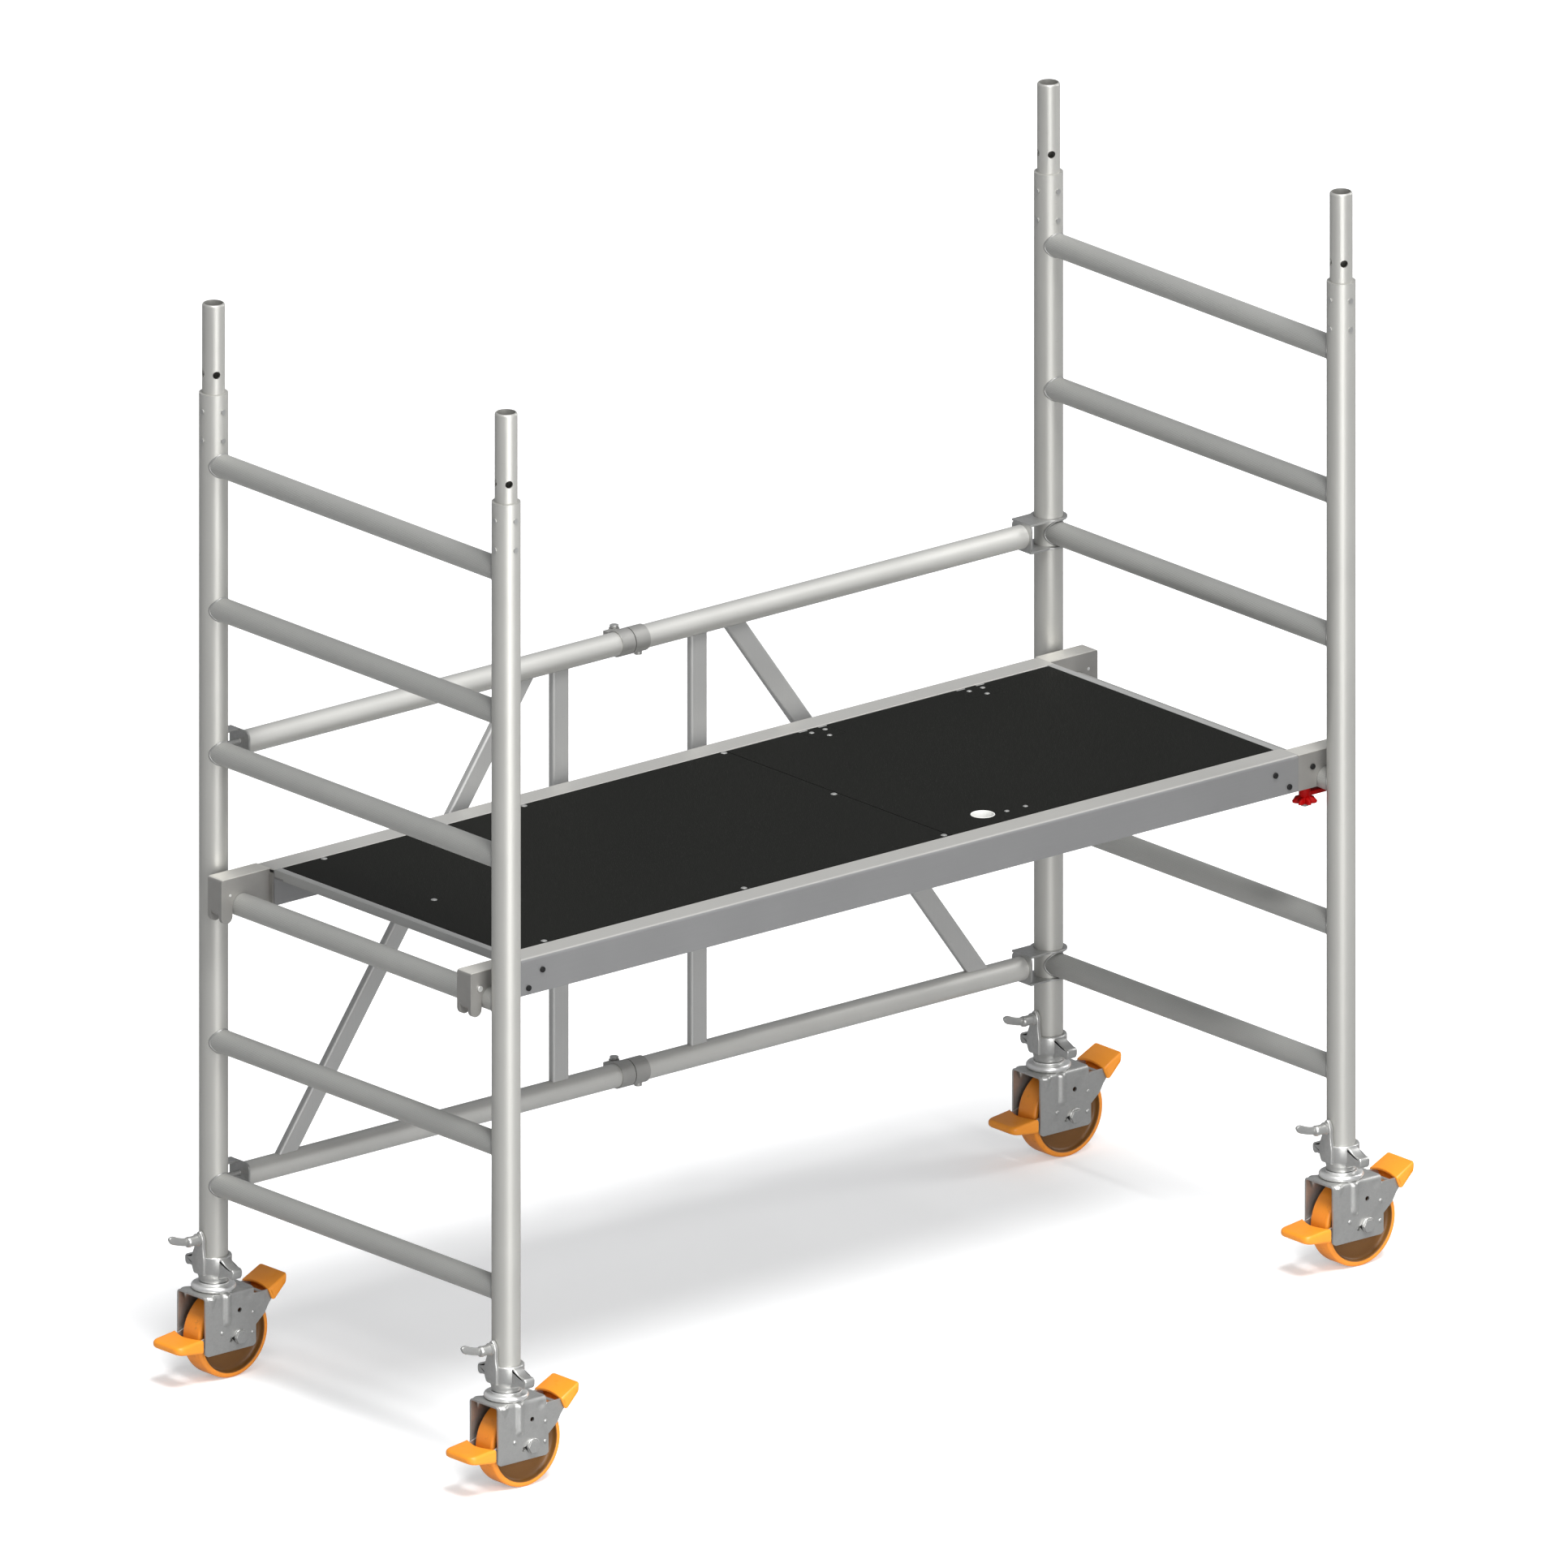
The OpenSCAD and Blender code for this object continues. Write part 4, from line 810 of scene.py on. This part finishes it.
def wing_screw(corner):
    """A round boss with a collar, and one flat wing that rises to a rounded tip."""
    base = castor_at(corner)
    z = CROWN + 0.0903
    start = base[0] - 0.0330
    boss = [(0.0, 0.009), (0.0038, 0.009), (0.0038, 0.0), (0.0100, 0.0), (0.0106, -0.0008),
            (0.0106, -0.0035), (0.0088, -0.0050), (0.0084, -0.0140), (0.0092, -0.0200),
            (0.0086, -0.0240), (0.0060, -0.0262), (0, -0.0266)]
    parts = [turned("boss", boss, (start, base[1], z), (1, 0, 0), 40, 45.0)]
    blade = rounded_outline([(-0.020, -0.0068), (-0.036, -0.0035), (-0.060, 0.0040),
                             (-0.0655, 0.0150), (-0.056, 0.0178), (-0.038, 0.0100), (-0.020, 0.0068)],
                            [0.002, 0.010, 0.008, 0.006, 0.006, 0.010, 0.002], 6)
    outline = blade + (start, z)
    piece = plate("blade", outline, -0.0028, 0.0028, 0.0014, across_y, 3, 50.0)
    parts.append(shifted(piece, (0, base[1], 0)))
    stand_in(joined(corner + "_wing_screw_shell", parts, 45.0), corner + "_wing_screw", zinc)


def castors():
    """All four castors, and the collar castings as one piece."""
    for corner in CORNERS:
        fork(corner)
        wheel(corner)
        pedals(corner)
        wing_screw(corner)
        softened(corner + "_brake_arms", zinc, 0.0006)
        softened(corner + "_axle", zinc, 0.0008)
    stand_in(joined("collar_castings", [piece for corner in CORNERS for piece in collar(corner)], 45.0),
             "castor_collars", zinc)


# ---- Frame ----

def weld_beads(side):
    """A rippled bead where each rung meets its uprights, along the curve where the two tubes cut."""
    radius, reach = RUNG_D / 2, TUBE_D / 2
    thickness, ripple, ripple_count = 0.0017, 0.00022, 44
    turn = np.linspace(0, 2 * math.pi, 97)[:-1]
    swell = thickness + ripple * np.sin(turn * ripple_count)
    beads = []
    for level in RUNG_Z:
        for corner in (side + "_front", side + "_back"):
            post = middle(corner + "_upright")
            inward = -1 if post.y > 0 else 1
            x = post.x + radius * np.cos(turn)
            y = post.y + inward * np.sqrt(reach ** 2 - (radius * np.cos(turn)) ** 2)
            path = np.column_stack([x, y, level + radius * np.sin(turn)])
            beads.append(tube_path("bead", path, swell, 8, closed=True))
    extra(joined(side + "_weld_beads", beads, 60.0), side + "_rungs", weld_metal)


def star_knob():
    """The wind lock: a star grip with seven arms that swell downwards, and a finger that reaches
    under the rung. The grip's radius at angle a is a circle's plus |cos(3.5 a)| to a power, so each
    arm comes to a rounded tip."""
    low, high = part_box("wind_lock")
    bolt = middle("wind_lock_bolt")
    angle = np.linspace(0, 2 * math.pi, 225)[:-1]
    arm_count = 7
    arms = np.abs(np.cos(arm_count / 2 * angle)) ** 1.6
    bore, grip_top, tall = 0.0042, 0.0122, high.z - low.z
    rings = []
    for height, core, reach in ((0.0000, 0.0110, 0.0065), (0.0010, 0.0125, 0.0080),
                                (0.0045, 0.0128, 0.0086), (0.0080, 0.0118, 0.0070),
                                (0.0105, 0.0100, 0.0030), (grip_top, 0.0088, 0.0),
                                (grip_top, bore, 0.0), (0.0000, bore, 0.0)):
        radius = core + reach * arms
        rings.append(np.column_stack([bolt.x + radius * np.cos(angle), bolt.y + radius * np.sin(angle),
                                      np.full(len(angle), low.z + height)]))
    faces = grid_faces(len(rings), len(angle), wrap_rows=True)
    grip = make_mesh("grip", np.concatenate(rings), faces, 50.0)
    hub = [(bore, 0.0110), (0.0090, 0.0110), (0.0098, 0.0120), (0.0098, tall - 0.0008),
           (0.0090, tall), (bore, tall), (bore, 0.0110)]
    length, half = 0.0455, 0.0078
    square = [(0.0, -half), (length, -half), (length, half), (0.0, half)]
    tongue = rounded_outline([(bolt.x + x, bolt.y + y) for x, y in square], [0, 0.0076, 0.0076, 0], 9)
    finger = plate("finger", tongue, low.z + grip_top, low.z + 0.0200, 0.0016, as_it_is, 4, 50.0)
    parts = [grip, turned("hub", hub, (bolt.x, bolt.y, low.z), (0, 0, 1), 48, 50.0), finger]
    stand_in(joined("wind_lock_grip", parts, 45.0), "wind_lock", lock_red)


def finger_hole_painted_light():
    """A pale sleeve that lines the hatch's finger hole, a hair proud of the deck; its pale colour is
    painted light that stands in for the bright floor seen through the hole.
    """
    low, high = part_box("hatch_panel")
    centre = (FINGER[0], FINGER[1], 0.0)
    sleeve = [(0.0198, low.z), (0.0198, high.z), (0.0204, high.z + 0.0003), (0.0196, high.z + 0.0008),
              (0.0186, high.z + 0.0004), (0.0182, high.z - 0.0010), (0.0182, low.z), (0.0198, low.z)]
    extra(turned("finger_hole_sleeve_painted_light", sleeve, centre, (0, 0, 1), 48, 50.0), "hatch_panel", pale_nylon_painted_light)


def frame_finishes():
    """Materials for the nodes that keep their own shape."""
    plain = {
        upright_tube: [corner + "_upright" for corner in CORNERS] + ["spigots"],
        ribbed_rung: ["left_rungs", "right_rungs"],
        brace_tube: ["left_top_brace_tube", "left_bottom_brace_tube", "right_top_brace_tube",
                     "right_bottom_brace_tube"],
        brace_bar: ["brace_posts", "brace_diagonals"],
        deck_rail: ["front_deck_rail", "back_deck_rail"],
        deck_beam: ["deck_end_beams", "deck_cross_beams"],
        deck_film: ["fixed_panel", "hatch_panel", "hatch_hinge_flaps"],
        zinc: ["spigot_rivets", "deck_rivets", "hatch_screws", "hatch_hinge_pins", "hatch_hinge_leaves",
               "wind_lock_bolt"],
        black_oxide: ["hatch_catch"],
    }
    for material, nodes in plain.items():
        for node in nodes:
            paint(NODES[node], material)


frame_finishes()
softened("claws", claw_cast, 0.0016, 3)
claw_bolts = softened("claw_bolts", black_oxide, 0.0006)
claw_bolts.data.materials.append(bright_zinc_and_painted_highlight)
for face in claw_bolts.data.polygons:
    face.material_index = int(abs(face.center.x) > abs(middle("left_rungs").x))
finger_hole_painted_light()
softened("left_hinge_fittings", cast_aluminium, 0.0010)
softened("right_hinge_fittings", cast_aluminium, 0.0010)
softened("brace_hinge_pins", zinc, 0.0008)
# the brackets take the darker zinc: painted shade
softened("upright_brackets", painted_shade_zinc, 0.0008)
star_knob()
for side in ("left", "right"):
    weld_beads(side)
castors()


# ---- Studio ----

def aimed(name, kind, place, target, **settings):
    """A lamp at place that points at target."""
    light = bpy.data.lights.new(name, kind)
    for key, value in settings.items():
        setattr(light, key, value)
    lamp = bpy.data.objects.new(name, light)
    bpy.context.scene.collection.objects.link(lamp)
    lamp.location = place
    lamp.rotation_mode = "QUATERNION"
    lamp.rotation_quaternion = (Vector(target) - lamp.location).to_track_quat("-Z", "Y")
    return lamp


def studio():
    """A wide pale floor that the metal does not mirror, a high soft key from the front, a tall soft box
    beside it for the long highlights on the tubes, a weaker one on the right, and a sky that is white
    to the camera and grey to everything else."""
    reach = 30
    corners = [(-reach, -reach, 0), (reach, -reach, 0), (reach, reach, 0), (-reach, reach, 0)]
    floor = make_mesh("studio_floor", corners, [(0, 1, 2, 3)])
    floor.visible_glossy = False
    paint(floor, floor_finish())
    aimed("key", "SUN", (-1.1, -3.6, 8.0), (0, 0, 0), energy=3.5, angle=math.radians(22))
    aimed("soft_box", "AREA", (-1.7, -5.0, 1.5), (0, 0, 1.0),
          energy=200, shape="RECTANGLE", size=3.0, size_y=3.6)
    aimed("side_box", "AREA", (5.2, -1.2, 3.0), (0, 0, 0.9),
          energy=70, shape="RECTANGLE", size=1.4, size_y=3.0)
    world = bpy.data.worlds.new("soft_sky")
    bpy.context.scene.world = world
    world.use_nodes = True
    tree = world.node_tree
    sky = tree.nodes["Background"]
    paths = tree.nodes.new("ShaderNodeLightPath")
    shade = tree.nodes.new("ShaderNodeMix")
    shade.data_type = "RGBA"
    shade.inputs[6].default_value = (0.30, 0.305, 0.315, 1.0)
    shade.inputs[7].default_value = (1.0, 1.0, 1.0, 1.0)
    tree.links.new(paths.outputs["Is Camera Ray"], shade.inputs[0])
    tree.links.new(shade.outputs[2], sky.inputs["Color"])
    bpy.context.scene.view_settings.view_transform = "Standard"


def camera():
    """A parallel view from the front left and above."""
    azimuth, elevation = math.radians(-40.06), math.radians(18.32)
    back = Vector((math.sin(azimuth) * math.cos(elevation), -math.cos(azimuth) * math.cos(elevation),
                   math.sin(elevation)))
    right = Vector((math.cos(azimuth), math.sin(azimuth), 0))
    up = back.cross(right)
    data = bpy.data.cameras.new("camera")
    data.type, data.ortho_scale = "ORTHO", 2.587
    aside, above, away = 0.011, 0.887, 7.0
    eye = bpy.data.objects.new("camera", data)
    bpy.context.scene.collection.objects.link(eye)
    eye.location = right * aside + up * above + back * away
    eye.rotation_mode = "QUATERNION"
    eye.rotation_quaternion = (-back).to_track_quat("-Z", "Y")
    data.clip_end = 60.0
    bpy.context.scene.camera = eye


studio()
camera()
